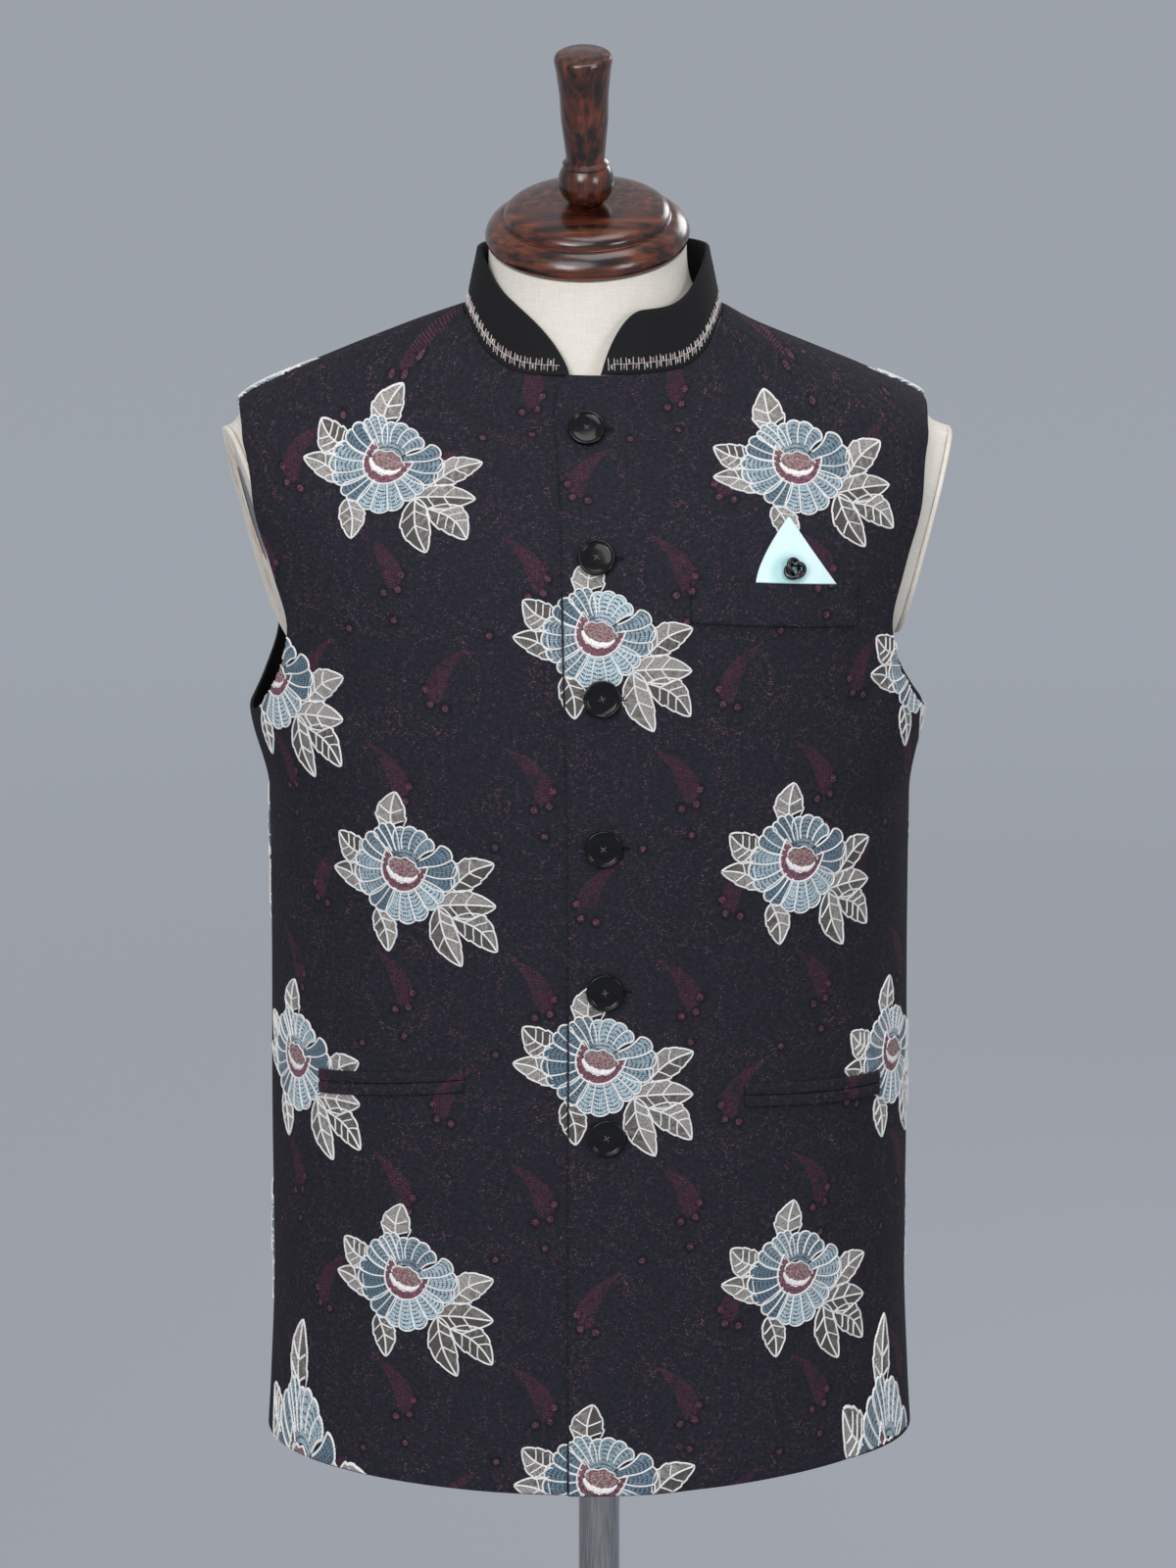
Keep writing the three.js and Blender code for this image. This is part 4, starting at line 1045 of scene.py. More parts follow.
def design_flower():
    """All of one flower in its own millimetres: across, up and how far it stands off the cloth"""
    pieces = []  # points, faces, reading, finish, how pale

    def add(made, which, pale):
        points, faces, reading = made
        pieces.append((points, faces, reading, which, pale))

    for foot_x, foot_y, tip_x, tip_y, wide, bow, teeth, veins, pale in LEAVES:
        run = np.array([tip_x - foot_x, tip_y - foot_y])
        long = np.hypot(*run)
        beside = np.array([-run[1], run[0]]) / long

        def leaf_at(s, t, foot=(foot_x, foot_y), run=run, beside=beside, wide=wide, bow=bow, teeth=teeth):
            side = 2 * s - 1
            tooth = (t * teeth + 0.15) % 1.0
            half = wide / 2 * np.sin(math.pi * np.clip(t, 0, 1) ** 0.8) ** 0.7
            half = half * (0.94 + 0.13 * tooth * np.sin(math.pi * t))
            off = side * half + bow * np.sin(math.pi * t) * 2
            x = foot[0] + run[0] * t + beside[0] * off
            y = foot[1] + run[1] * t + beside[1] * off
            out = np.abs(side)
            lift = 0.2 + 0.45 * np.sin(math.pi * t) ** 0.5 * (1 - out**3) * (0.6 + 0.4 * out)
            return np.stack([x, y, lift - TUCKED * (1 - ease(np.hypot(x, y), 26.0, 31.0))], -1)

        def leaf_reading(s, t, wide=wide, long=long):
            return np.stack([(2 * s - 1) * wide / 2, t * long + np.abs(2 * s - 1) * wide * 0.25], -1)

        add(patch(leaf_at, 10, 3 * teeth + 4, leaf_reading), 1, pale)
        for s_edge in (0, 1):
            add(cord(leaf_at, s_edge, 0, s_edge, 1), 2, 1.0)
        add(cord(leaf_at, 0.5, 0.02, 0.5, 0.97), 2, 1.0)
        for vein in range(veins):
            t = 0.2 + 0.55 * vein / veins
            for s_edge in (0.06, 0.94):
                add(cord(leaf_at, 0.5, t, s_edge, t + 0.16, 0.9), 2, 1.0)
    for first, last, reach, lobes, pale in PETALS:

        def petal_at(s, t, first=first, last=last, reach=reach, lobes=lobes):
            angle = np.radians(first + (last - first) * s + 5.0 * np.sin(math.pi * t) * math.sin(first))
            lobe = np.abs(np.sin(math.pi * lobes * s))
            edge = reach * (0.84 + 0.11 * np.sin(math.pi * s) ** 0.6 + 0.055 * lobe**0.7)
            radius = PETAL_ROOT + (edge - PETAL_ROOT) * t
            lift = 0.45 + 0.65 * np.sin(math.pi * s) ** 0.4 * np.sin(math.pi * (0.12 + 0.8 * t)) ** 0.7
            x, y = radius * np.cos(angle), radius * np.sin(angle) * 0.98
            return np.stack([x, y, lift + 0.1 * (s - 0.5)], -1)

        def petal_reading(s, t, reach=reach, lobes=lobes):
            return np.stack([s * lobes * 7.0, PETAL_ROOT + (reach - PETAL_ROOT) * t], -1)

        add(patch(petal_at, 4 * lobes, 10, petal_reading), 0, pale)
        for lobe in range(lobes + 1):
            from_heart = (HEART_REACH - PETAL_ROOT) / (reach * 0.86 - PETAL_ROOT)
            wide = CORD_WIDE if lobe in (0, lobes) else 0.95
            add(cord(petal_at, lobe / lobes, from_heart, lobe / lobes, 1, wide), 2, 1.0)
        for lobe in range(lobes):
            add(cord(petal_at, lobe / lobes, 1, (lobe + 1) / lobes, 1), 2, 1.0)

    def oval(angle, wide, tall, x, y, lift):
        long, short = wide * np.cos(angle), tall * np.sin(angle)
        across = long * math.cos(HEART_TILT) - short * math.sin(HEART_TILT)
        up = long * math.sin(HEART_TILT) + short * math.cos(HEART_TILT)
        return np.stack([across + x, up + y, lift + 0 * angle], -1)

    def bowl_at(s, t):
        angle = np.radians(134 + 250 * s)
        wing = 1 + 0.3 * np.abs(2 * s - 1) ** 5
        outer = oval(angle, 13.0 * wing, 12.4 * wing, -0.8, -0.6, 0.9)
        inner = oval(angle, 10.4, 7.6, -0.2, 0.8, 1.5)
        return inner + (outer - inner) * t[..., None]

    def lip_at(s, t):
        angle = np.radians(186 + 164 * s)
        ragged = 1 + 0.09 * np.sin(s * 37.0) * np.sin(s * 11.0 + 1.0)
        outer = oval(angle, 10.4, 8.2 * ragged, -0.2, 0.6, 1.5)
        inner = oval(angle, 9.4, 5.2 * ragged, 0.4, 1.2, 1.35)
        return inner + (outer - inner) * t[..., None]

    def seeds_at(s, t):
        angle = 2 * math.pi * s
        frayed = 1 + 0.06 * np.sin(angle * 9) + 0.05 * np.sin(angle * 5 + 1)
        rim = oval(angle, 9.8 * frayed, 6.2 * frayed, 0.4, 1.2, 1.2)
        middle = oval(angle * 0, 0.0, 0.0, 0.4, 1.2, 1.75)
        return middle + (rim - middle) * t[..., None]

    def flat_reading(at):
        return lambda s, t: at(s, t)[..., :2]

    add(patch(bowl_at, 26, 3, flat_reading(bowl_at)), 3, 0.5)
    add(patch(lip_at, 20, 2, flat_reading(lip_at)), 4, 0.5)
    add(patch(seeds_at, 28, 4, flat_reading(seeds_at)), 5, 0.5)
    for at, *run in (
        (bowl_at, 0, 1, 1, 1, CORD_WIDE),
        (bowl_at, 0, 0, 0.08, 0, 0.8),
        (seeds_at, 0, 1, 0.5, 1, 0.8),
        (bowl_at, 0, 0, 0, 1, 0.8),
        (bowl_at, 1, 0, 1, 1, 0.8),
    ):
        add(cord(at, *run), 2, 1.0)
    points, faces, readings, which, pale, part, start = [], [], [], [], [], [], 0
    for number, (p, f, reading, finish_number, paleness) in enumerate(pieces):
        up = np.cross(p[f[:, 1]] - p[f[:, 0]], p[f[:, 2]] - p[f[:, 0]])[:, 2]
        f = np.where(up[:, None] < 0, f[:, ::-1], f)
        points.append(p)
        faces.append(f + start)
        readings.append(reading)
        which.append(np.full(len(f), finish_number))
        pale.append(np.full(len(p), paleness))
        part.append(np.full(len(p), number))
        start += len(p)
    return [np.concatenate(x) for x in (points, faces, readings, which, pale, part)]


flower = design_flower()

# Threads of the flowers: the petals' rows of stitches leave dark slits like a ladder's, the leaves are
# hatched from their middle out, and the cords are twisted
petal_thread, tree, shader = finish("shaded blue thread", srgb(150, 180, 195), 0.62, sheen_weight=0.1)
across, up = read_map(tree, "Stitch")
pale, chance = read_map(tree, "Tone")
rows = cloudy((across * 0.5, up * 0.12, chance * 30))
ladder = ((up + rows * 1.6) * (2 * math.pi / 2.7)).math("SINE").rising(0.2, 0.8)
broken = cloudy((across * 0.6, (up / 2.7).math("FLOOR") * 3.1, chance * 30)).rising(0.38, 0.52)
strands = ((across + rows * 0.8) * 6.0).math("SINE")
light = blend(strands.rising(-1.0, 1.0), srgb(146, 169, 181), srgb(194, 210, 217))
deep = blend(strands.rising(-1.0, 1.0), srgb(58, 80, 96), srgb(98, 124, 140))
tone = blend((pale + (rows - 0.5) * 0.7).rising(0.1, 0.95), deep, light)
tone = blend(ladder * broken * 0.95, tone, srgb(26, 36, 47))
dye(shader, tone)
raise_by(shader, strands * 0.35 - ladder * broken, 0.3, 0.8)

leaf_thread, tree, shader = finish("taupe thread", srgb(150, 142, 134), 0.64, sheen_weight=0.1)
across, up = read_map(tree, "Stitch")
pale, chance = read_map(tree, "Tone")
drift = cloudy((across * 0.2, up * 0.35, chance * 30), 3.0)
hatch = ((up + drift * 2.5) * 6.5).math("SINE")
nick = cloudy((across * 0.6, up * 2.4, chance * 30))
halves = across.rising(-0.4, 0.4) * 0.4 - 0.2
tone = blend((pale + halves + (drift - 0.5) * 0.9).rising(0.15, 0.9), srgb(76, 70, 66), srgb(176, 170, 165))
tone = blend(hatch.rising(-0.1, 0.9) * 0.6 + nick.rising(0.52, 0.62) * 0.6, tone, srgb(40, 35, 35))
dye(shader, tone)
raise_by(shader, hatch * -0.4 - nick, 0.25, 0.8)

cord_thread, tree, shader = finish("off-white cord", srgb(236, 235, 232), 0.6, sheen_weight=0.3)
across, up = read_map(tree, "Stitch")
twist = ((up * 1.5 + across * 2.2) * 3.4).math("SINE")
worn = cloudy((across * 0.5, up * 0.5), 3.0)
tone = blend((twist * 0.25 + worn).rising(0.15, 0.7), srgb(206, 206, 206), srgb(246, 245, 243))
dye(shader, tone)
raise_by(shader, twist, 0.16, 0.8)

rose_thread, tree, shader = finish("rose thread", srgb(110, 65, 80), 0.62, sheen_weight=0.1)
across, up = read_map(tree, "Stitch")
pale, chance = read_map(tree, "Tone")
laid = cloudy((across * 1.6, up * 0.5, chance * 30), 3.0)
dye(shader, blend(laid.rising(0.35, 0.68), srgb(62, 32, 44), srgb(138, 84, 101)))
raise_by(shader, laid, 0.35, 0.8)

lip_thread, tree, shader = finish("white satin stitch", srgb(232, 230, 228), 0.55, sheen_weight=0.3)
across, up = read_map(tree, "Stitch")
laid = cloudy((across * 2.6, up * 0.3))
dye(shader, blend(laid.rising(0.3, 0.6), srgb(196, 192, 192), srgb(240, 238, 236)))
raise_by(shader, laid, 0.25, 0.8)

seed_thread, tree, shader = finish("seed stitches", srgb(160, 148, 136), 0.62, sheen_weight=0.1)
across, up = read_map(tree, "Stitch")
pale, chance = read_map(tree, "Tone")
seeds = cloudy((across * 0.75, up * 1.0, chance * 30), 1.0)
grit = cloudy((across * 2.2, up * 1.6, chance * 30))
tone = blend(grit.rising(0.4, 0.62), srgb(84, 71, 70), srgb(176, 160, 153))
tone = blend(seeds.rising(0.5, 0.57), tone, srgb(118, 54, 74))
dye(shader, tone)
raise_by(shader, grit + seeds, 0.5, 0.8)

FRONT_FLOWERS = (  # across and height of each flower's heart, on the wearer's left; a minus is the right
    (0, 1266),
    (0, 1015),
    (1, 760),
    (118, 1357),
    (-122, 1359),
    (118, 1130),
    (-113, 1126),
    (118, 878),
    (-113, 878),
    (191, 1236),
    (-187, 1232),
    (178, 1000),
    (-176, 1000),
    (178, 741),
    (-176, 741),
)
BACK_FLOWERS = (  # distance over the cloth from the middle of the back, and height on the cloth
    (0, 1372),
    (234, 1386),
    (-234, 1386),
    (118, 1250),
    (-118, 1250),
    (0, 1127),
    (236, 1127),
    (-236, 1127),
    (118, 1002),
    (-118, 1002),
    (0, 880),
    (236, 880),
    (-236, 880),
    (118, 757),
    (-118, 757),
)
UNDER_BUTTON, UNDER_STRIPS = 0.3, 0.2  # how flat a flower is pressed where a piece lies over it


def pressed_flat(x, z):
    """How much of its height the embroidery keeps at these places on the front"""
    kept = np.ones(x.shape)
    for button_x, button_z in BUTTON_PLACES:
        kept = np.where(np.hypot(x - button_x, z - button_z) < BUTTON_RADIUS + 1.5, UNDER_BUTTON, kept)
    for _, on_left, x0, x1, top0, top1, drop in JETS:
        share = np.clip((x - x0) / (x1 - x0), 0, 1)
        top = top0 + (top1 - top0) * share - drop
        in_jet = (x > x0 - 1) & (x < x1 + 1) & (z < top + 1) & (z > top - JET_HEIGHT - 1)
        kept = np.where(in_jet, UNDER_STRIPS, kept)
    over = z - welt_top(x)
    in_welt = (x > WELT_LEFT - 1) & (x < WELT_RIGHT + 1) & (over < 1) & (over > -WELT_HEIGHT - 1)
    above = np.clip(over / SQUARE_RISE, 0, 1)
    square_left = SQUARE_LEFT + (SQUARE_APEX - SQUARE_LEFT) * above**1.5
    square_right = SQUARE_RIGHT + (SQUARE_APEX - SQUARE_RIGHT) * above
    in_square = (x > square_left - 2) & (x < square_right + 2) & (over > -1) & (over < SQUARE_RISE + 2)
    return np.where(in_welt | in_square, UNDER_STRIPS, kept)


def flat_steps(face, on_left, across, up, x, y, near=3.0):
    """Turns lengths in a flower's own plane into the panel's two measures, so that it keeps its shape"""
    round_it = np.array([across + near, across - near, across, across])
    up_it = np.array([up, up, up + near, up - near])
    at = cloth_point(on_left, *find_on_cloth(face, round_it, up_it), np.zeros(4))
    run, rise = (at[0] - at[1]) / (2 * near), (at[2] - at[3]) / (2 * near)
    long, skew = np.linalg.norm(run), run @ rise
    square = np.linalg.norm(np.cross(run, rise))
    return x / long - y * skew / (long * square), y * long / square


def sew_flowers(name, face, on_left, places, limits, seed):
    points, faces, readings, which, pale, part = flower
    draw = np.random.default_rng(seed)
    kept_points, kept_faces, kept_which, kept_reading, kept_tone, start = [], [], [], [], [], 0
    for across, up in places:
        if face == "front":
            across, up = (float(k) for k in measure("front", *find_on_front(across, up)))
        grown = 1 + draw.uniform(-0.02, 0.02)
        turned_by = math.radians(draw.uniform(-2.5, 2.5))
        x = (points[:, 0] * math.cos(turned_by) - points[:, 1] * math.sin(turned_by)) * grown
        y = (points[:, 0] * math.sin(turned_by) + points[:, 1] * math.cos(turned_by)) * grown
        run_across, rise_up = flat_steps(face, on_left, across, up, x, y)
        angle, height = find_on_cloth(face, across + run_across, up + rise_up)
        lowest = hem_height(angle) + 0.7
        height_in = np.clip(height, lowest, NECKLINE - 2)
        low, high = limits(height_in)
        angle_in = np.clip(angle, low, high)
        outside = (np.abs(angle_in - angle) > 1e-9) | (height < lowest)
        lift = points[:, 2].copy()
        if face == "front":
            at = body_point(angle_in, height_in)
            lift *= pressed_flat(at[:, 0], at[:, 2])
        lift = np.where(outside, 0.0, lift)
        placed = cloth_point(on_left, angle_in, height_in, 0.04 + lift)
        keep = ~outside[faces].all(1)
        used = np.unique(faces[keep])
        fresh = np.full(len(points), -1)
        fresh[used] = np.arange(len(used)) + start
        start += len(used)
        kept_points.append(placed[used])
        kept_faces.append(fresh[faces[keep]])
        kept_which.append(which[keep])
        kept_reading.append(readings[used])
        shift = draw.uniform(-0.35, 0.35, int(part.max()) + 1)
        chance = draw.uniform(0, 1)
        kept_tone.append(np.column_stack([pale[used] + shift[part[used]], np.full(len(used), chance)]))
    make_piece(
        name,
        np.concatenate(kept_points),
        np.concatenate(kept_faces).tolist(),
        [petal_thread, leaf_thread, cord_thread, rose_thread, lip_thread, seed_thread],
        np.concatenate(kept_which),
        {"Stitch": np.concatenate(kept_reading), "Tone": np.concatenate(kept_tone)},
        crisp=75,
    )


def left_limits(height):
    return np.arcsin((-OVERLAP + 0.4) / body["front"](height)), arm_angle(height, "front") - 0.004


def right_limits(height):
    return -arm_angle(height, "front") + 0.004, np.arcsin((-OVERLAP - 0.6) / body["front"](height))


def back_limits(height):
    return arm_angle(height, "back") + 0.004, 2 * math.pi - arm_angle(height, "back") - 0.004


left_places = [p for p in FRONT_FLOWERS if p[0] > -50]
right_places = [p for p in FRONT_FLOWERS if p[0] < 50]
sew_flowers("flowers_left", "front", True, left_places, left_limits, 3)
sew_flowers("flowers_right", "front", False, right_places, right_limits, 3)
sew_flowers("flowers_back", "back", False, BACK_FLOWERS, back_limits, 11)

# Dress form: a hard torso without limbs, covered in ivory linen stretched smooth, with a neck that
# rises to the wooden cap and a flat slanted face at each arm.
FORM_BOTTOM = 782.0
FORM_INSET = curve_through(
    [740, 880, 1000, 1100, 1180, 1215, 1250, 1285, 1315, 1350, 1386, 1400, 1424, 1440],
    [20, 22, 26, 20, 16, 20, 18, 8, 4.8, 5, 7.5, 7.5, 6, 8],
)
SHOULDER_INSET = CLOTH_THICK + 0.9
SHOULDER_FROM, SHOULDER_FULL, SHOULDER_END = 1366, 1400, 1424
UNDER_ARM_DEEP, UNDER_ARM_LOW, UNDER_ARM_FULL, UNDER_ARM_FADE, UNDER_ARM_GONE = 15.0, 1110, 1205, 1228, 1262
STUB_OUT, STUB_LOW, STUB_TOP, STUB_FALL, STUB_EDGE, STUB_FULL = 13.0, 1226, 1365, 10, 3, 10
PLATE_TOP, PLATE_TOP_REACH, PLATE_BOTTOM, PLATE_BOTTOM_REACH = 1356.0, 210.0, 1236.0, 176.0
PLATE_YAW = {1: 0.0, -1: math.radians(9)}
PLATE_GAP, PLATE_THICK, FORM_EDGE = 0.3, 3.0, 1.4
ARM_LOW, ARM_HIGH, ARM_IN = 1190, 1420, 120  # only the form inside these is cut to the arms' flat faces
CAP_PITCH, CAP_SWAY = 18.0, 2.0
CAP_RADIUS, CAP_DISC, CAP_STEP_RADIUS, CAP_STEP = 60.7, 16.0, 49.5, 9.0
cap_pitch = Matrix.Rotation(math.radians(CAP_PITCH), 3, "X")
cap_turn = np.array(cap_pitch @ Matrix.Rotation(math.radians(-CAP_SWAY), 3, "Y"))
cap_centre = np.array([-1.0, 1.0, 1479.0])

linen, tree, shader = finish("ivory linen", srgb(226, 220, 207), 0.86, sheen_weight=0.1)
x, y, z = object_place(tree)
threads_up = cloudy((x * 2.6, y * 2.6, z * 0.12))
threads_across = cloudy((x * 0.12, y * 0.12, z * 2.6))
stains = cloudy((x * 0.012, y * 0.012, z * 0.012), 3.0)
woven = threads_up * 0.5 + threads_across * 0.5
tone = blend(woven.rising(0.3, 0.7), srgb(213, 206, 195), srgb(228, 223, 213))
tone = blend(stains.rising(0.55, 0.8) * 0.5, tone, srgb(205, 190, 164))
arm_slope = (PLATE_TOP_REACH - PLATE_BOTTOM_REACH) / (PLATE_TOP - PLATE_BOTTOM)
arm_end = (x.math("ABSOLUTE") - (z - PLATE_BOTTOM) * arm_slope).rising(168.0, PLATE_BOTTOM_REACH)
from_socket = (y * y + (z - 1316.0) * (z - 1316.0) * 0.3).math("SQRT")
rust = cloudy((x * 0.06, y * 0.06, z * 0.05), 4.0, 0.6).rising(0.42, 0.62)
tone = blend(arm_end * from_socket.rising(48.0, 16.0) * rust * 0.75, tone, srgb(186, 148, 104))
dye(shader, tone)
raise_by(shader, woven, 0.2, 0.5)

form_heights = np.concatenate([np.linspace(FORM_BOTTOM, 1150, 40), np.linspace(1155, NECKLINE, 120)])
form_turns = np.linspace(0, 2 * math.pi, 301)[:-1]
height, turn = np.meshgrid(form_heights, form_turns, indexing="ij")
angle = angle_at(turn, height)
at, _, _, normal = body_frame(angle, height)
on_shoulder = ease(height, SHOULDER_FROM, SHOULDER_FULL) * (1 - ease(height, SHOULDER_END, NECKLINE))
at_side = np.abs(np.sin(angle)) ** 4
drawn_in = ease(height, UNDER_ARM_LOW, UNDER_ARM_FULL) * (1 - ease(height, UNDER_ARM_FADE, UNDER_ARM_GONE))
inset = FORM_INSET(height) + UNDER_ARM_DEEP * drawn_in * at_side
inset = inset * (1 - at_side * on_shoulder) + SHOULDER_INSET * at_side * on_shoulder
torso = at - normal * inset[..., None]
turned = np.degrees(np.abs(np.arctan2(np.sin(angle), np.cos(angle))))
inside = np.minimum(turned - armhole["front"](height), armhole["back"](height) - turned)
upright = ease(height, STUB_LOW, STUB_LOW + 40) * (1 - ease(height, STUB_TOP, STUB_TOP + STUB_FALL))
torso[..., 0] += np.sign(np.sin(angle)) * STUB_OUT * ease(inside, STUB_EDGE, STUB_FULL) * upright
torso[0, :, 2] = FORM_BOTTOM
neck_turn = angle_at(form_turns, np.full_like(form_turns, NECKLINE))
neck_top = np.stack([np.sin(neck_turn), -np.cos(neck_turn), 0 * neck_turn], -1) * (CAP_RADIUS - 2)
neck_top = (neck_top - (0, 0, 0.3)) @ cap_turn.T + cap_centre
neck_steps = np.linspace(0, 1, 19)[1:]
inwards = 1 - (1 - neck_steps) ** 3
neck_share = np.stack([inwards, inwards, neck_steps], -1)[:, None, :]
neck = torso[-1] + (neck_top - torso[-1]) * neck_share
torso = np.concatenate([torso, neck])
tilt = math.atan2(PLATE_TOP_REACH - PLATE_BOTTOM_REACH, PLATE_TOP - PLATE_BOTTOM)
plate_reach, plate_height = (PLATE_TOP_REACH + PLATE_BOTTOM_REACH) / 2, (PLATE_TOP + PLATE_BOTTOM) / 2
points, faces = ringed(torso, torso[0].mean(0), torso[-1].mean(0))
whole_form = BVHTree.FromPolygons(points.tolist(), faces)
torso = points[:-2]
arm_faces = {}
for side in (1, -1):
    yaw = PLATE_YAW[side]
    facing = np.array([math.cos(tilt) * math.cos(yaw), -math.sin(yaw) * math.cos(tilt), -math.sin(tilt)])
    along = np.array([math.sin(yaw), math.cos(yaw), 0])
    upwards = np.cross(facing, along)
    centre = np.array([plate_reach, 0, plate_height])
    arm_faces[side] = [v * (side, 1, 1) for v in (centre, facing, along, upwards)]
    centre, facing = arm_faces[side][:2]
    off = (torso - centre) @ facing
    near = (torso[:, 2] > ARM_LOW) & (torso[:, 2] < ARM_HIGH) & (torso[:, 0] * side > ARM_IN)
    over = np.where(near, off, -99.0)
    softened = -FORM_EDGE + FORM_EDGE * np.tanh((over + FORM_EDGE) / FORM_EDGE)
    torso = torso - facing * np.where(over > -FORM_EDGE, over - softened, 0)[:, None]
points[:-2] = torso
form = make_piece("form_torso", points, faces, [linen], crisp=50)
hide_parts("form_torso")

# Arm plates: a flat pad covered in the same linen on the end of each arm, cut to its outline, with an
# oval socket of sheet steel let into it for an arm that isn't there, dark partly of itself and partly as
# painted shade of its recess.
FITTING_WIDE, FITTING_TALL, FITTING_DEEP, FITTING_UP, FITTING_FRONT = 17.0, 30.0, 2.3, 24.0, -9.0
steel, tree, shader = finish("brushed steel", srgb(150, 151, 153), 0.28, 1.0)
x, y, z = object_place(tree)
lines = cloudy((x * 2.2, y * 2.2, z * 0.05), 3.0)
smears = cloudy((x * 0.05, y * 0.05, z * 0.05), 3.0)
tone = blend(lines.rising(0.3, 0.7), srgb(134, 134, 134), srgb(182, 181, 180))
dye(shader, tone, lines * 0.1 + smears * 0.16 + 0.04)
raise_by(shader, lines, 0.05, 0.4)
# the socket's steel is dark partly of itself and partly as painted shade of the recess it lines
socket_steel_painted_shade, tree, shader = finish("socket steel with painted shade", srgb(66, 65, 66), 0.2, 1.0)
x, y, z = object_place(tree)
worn = cloudy((x * 0.2, y * 0.2, z * 0.06), 3.0)
dye(shader, blend(worn.rising(0.35, 0.65), srgb(40, 39, 40), srgb(112, 108, 106)), worn * 0.3 + 0.06)
PLATE_RINGS = (  # depth above the arm's end, distance in from the outline
    (0.0, 0.5),
    (0.5, 0.0),
    (PLATE_THICK - 1.0, 0.0),
    (PLATE_THICK - 0.3, 0.35),
    (PLATE_THICK, 1.2),
    (PLATE_THICK, 4.0),
)
for name, side in (("left", 1), ("right", -1)):
    centre, facing, along, upwards = arm_faces[side]
    spokes = np.linspace(0, 2 * math.pi, 145)[:-1]
    rim = np.zeros(len(spokes))
    for k, spoke in enumerate(spokes):
        heading = along * math.cos(spoke) + upwards * math.sin(spoke)
        rim[k] = whole_form.ray_cast(Vector(centre + facing * 1.8), Vector(heading))[3]
    across_face, up_face = np.cos(spokes), np.sin(spokes)
    fitting = 1 / np.sqrt((across_face / FITTING_WIDE) ** 2 + (up_face / FITTING_TALL) ** 2)
    rings = [(depth, rim - inwards, 0.0) for depth, inwards in PLATE_RINGS]
    rings += [(PLATE_THICK, fitting + 8.0, FITTING_UP), (PLATE_THICK, fitting + 0.6, FITTING_UP)]
    rings += [(PLATE_THICK - 0.5, fitting, FITTING_UP), (PLATE_THICK - FITTING_DEEP, fitting, FITTING_UP)]
    dish = [(PLATE_THICK - 0.5, fitting - 0.1, FITTING_UP), (PLATE_THICK - 0.3, fitting - 0.8, FITTING_UP)]
    dish += [(PLATE_THICK - 0.7, fitting - 1.6, FITTING_UP)]
    dish += [(PLATE_THICK - FITTING_DEEP + 0.5, fitting * share, FITTING_UP) for share in (0.8, 0.5, 0.2)]
    for piece_name, its_rings, its_finish, its_slot in (
        (f"arm_plate_{name}", rings, linen, "linen"),
        (f"arm_fitting_{name}", dish, socket_steel_painted_shade, "steel"),
    ):
        placed = []
        for depth, out, high in its_rings:
            sideways = out * across_face + (FITTING_FRONT if high else 0)
            ring = centre + facing * (PLATE_GAP + depth) + along * sideways[:, None]
            placed.append(ring + upwards * (out * up_face + high)[:, None])
        low_end = centre + facing * PLATE_GAP if its_finish is linen else placed[0].mean(0) - facing * 1.6
        points, its_faces = ringed(np.array(placed), low_end, placed[-1].mean(0))
        its_faces = [face[::side] for face in its_faces]
        plate = make_piece(piece_name, points, its_faces, [its_finish], crisp=50)
        if its_finish is linen:
            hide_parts(f"arm_plate_{name}")

# Cap and finial: turned hardwood, stained dark red-brown and varnished, a stepped disc on the neck with
# a ball and a tapered handle.
BALL_RADIUS, BALL_HEIGHT = 16.6, 25.0
FINIAL_TOP, FINIAL_NECK, FINIAL_HEIGHT = 17.2, 11.4, 70.0
wood, tree, shader = finish(
    "varnished dark wood", srgb(58, 24, 14), 0.3, coat_weight=0.35, coat_roughness=0.16
)
x, y, z = object_place(tree)
wander = cloudy((x * 0.03, y * 0.03, z * 0.03))
board = (z * -1.0).rising(-1503.0, -1497.0)
grain = cloudy((x * 0.014 + wander * 1.2, y * 0.11, z * 0.26), 3.0, 0.55)
turned_grain = cloudy((x * 0.2 + wander * 1.5, y * 0.2, z * 0.02), 3.0, 0.55)
grain = grain * board + turned_grain * (board * -1.0 + 1.0)
pores = cloudy((x * 0.25, y * 2.2, z * 2.6))
tone = blend(grain.rising(0.34, 0.62), srgb(20, 9, 7), srgb(84, 38, 22))
tone = blend(grain.rising(0.56, 0.72) * 0.6, tone, srgb(128, 68, 38))
tone = blend(pores.rising(0.62, 0.72) * 0.6, tone, srgb(16, 8, 6))
dye(shader, tone, grain * 0.2 + 0.1)
raise_by(shader, pores * -1.0 + grain * 0.3, 0.12, 0.5)
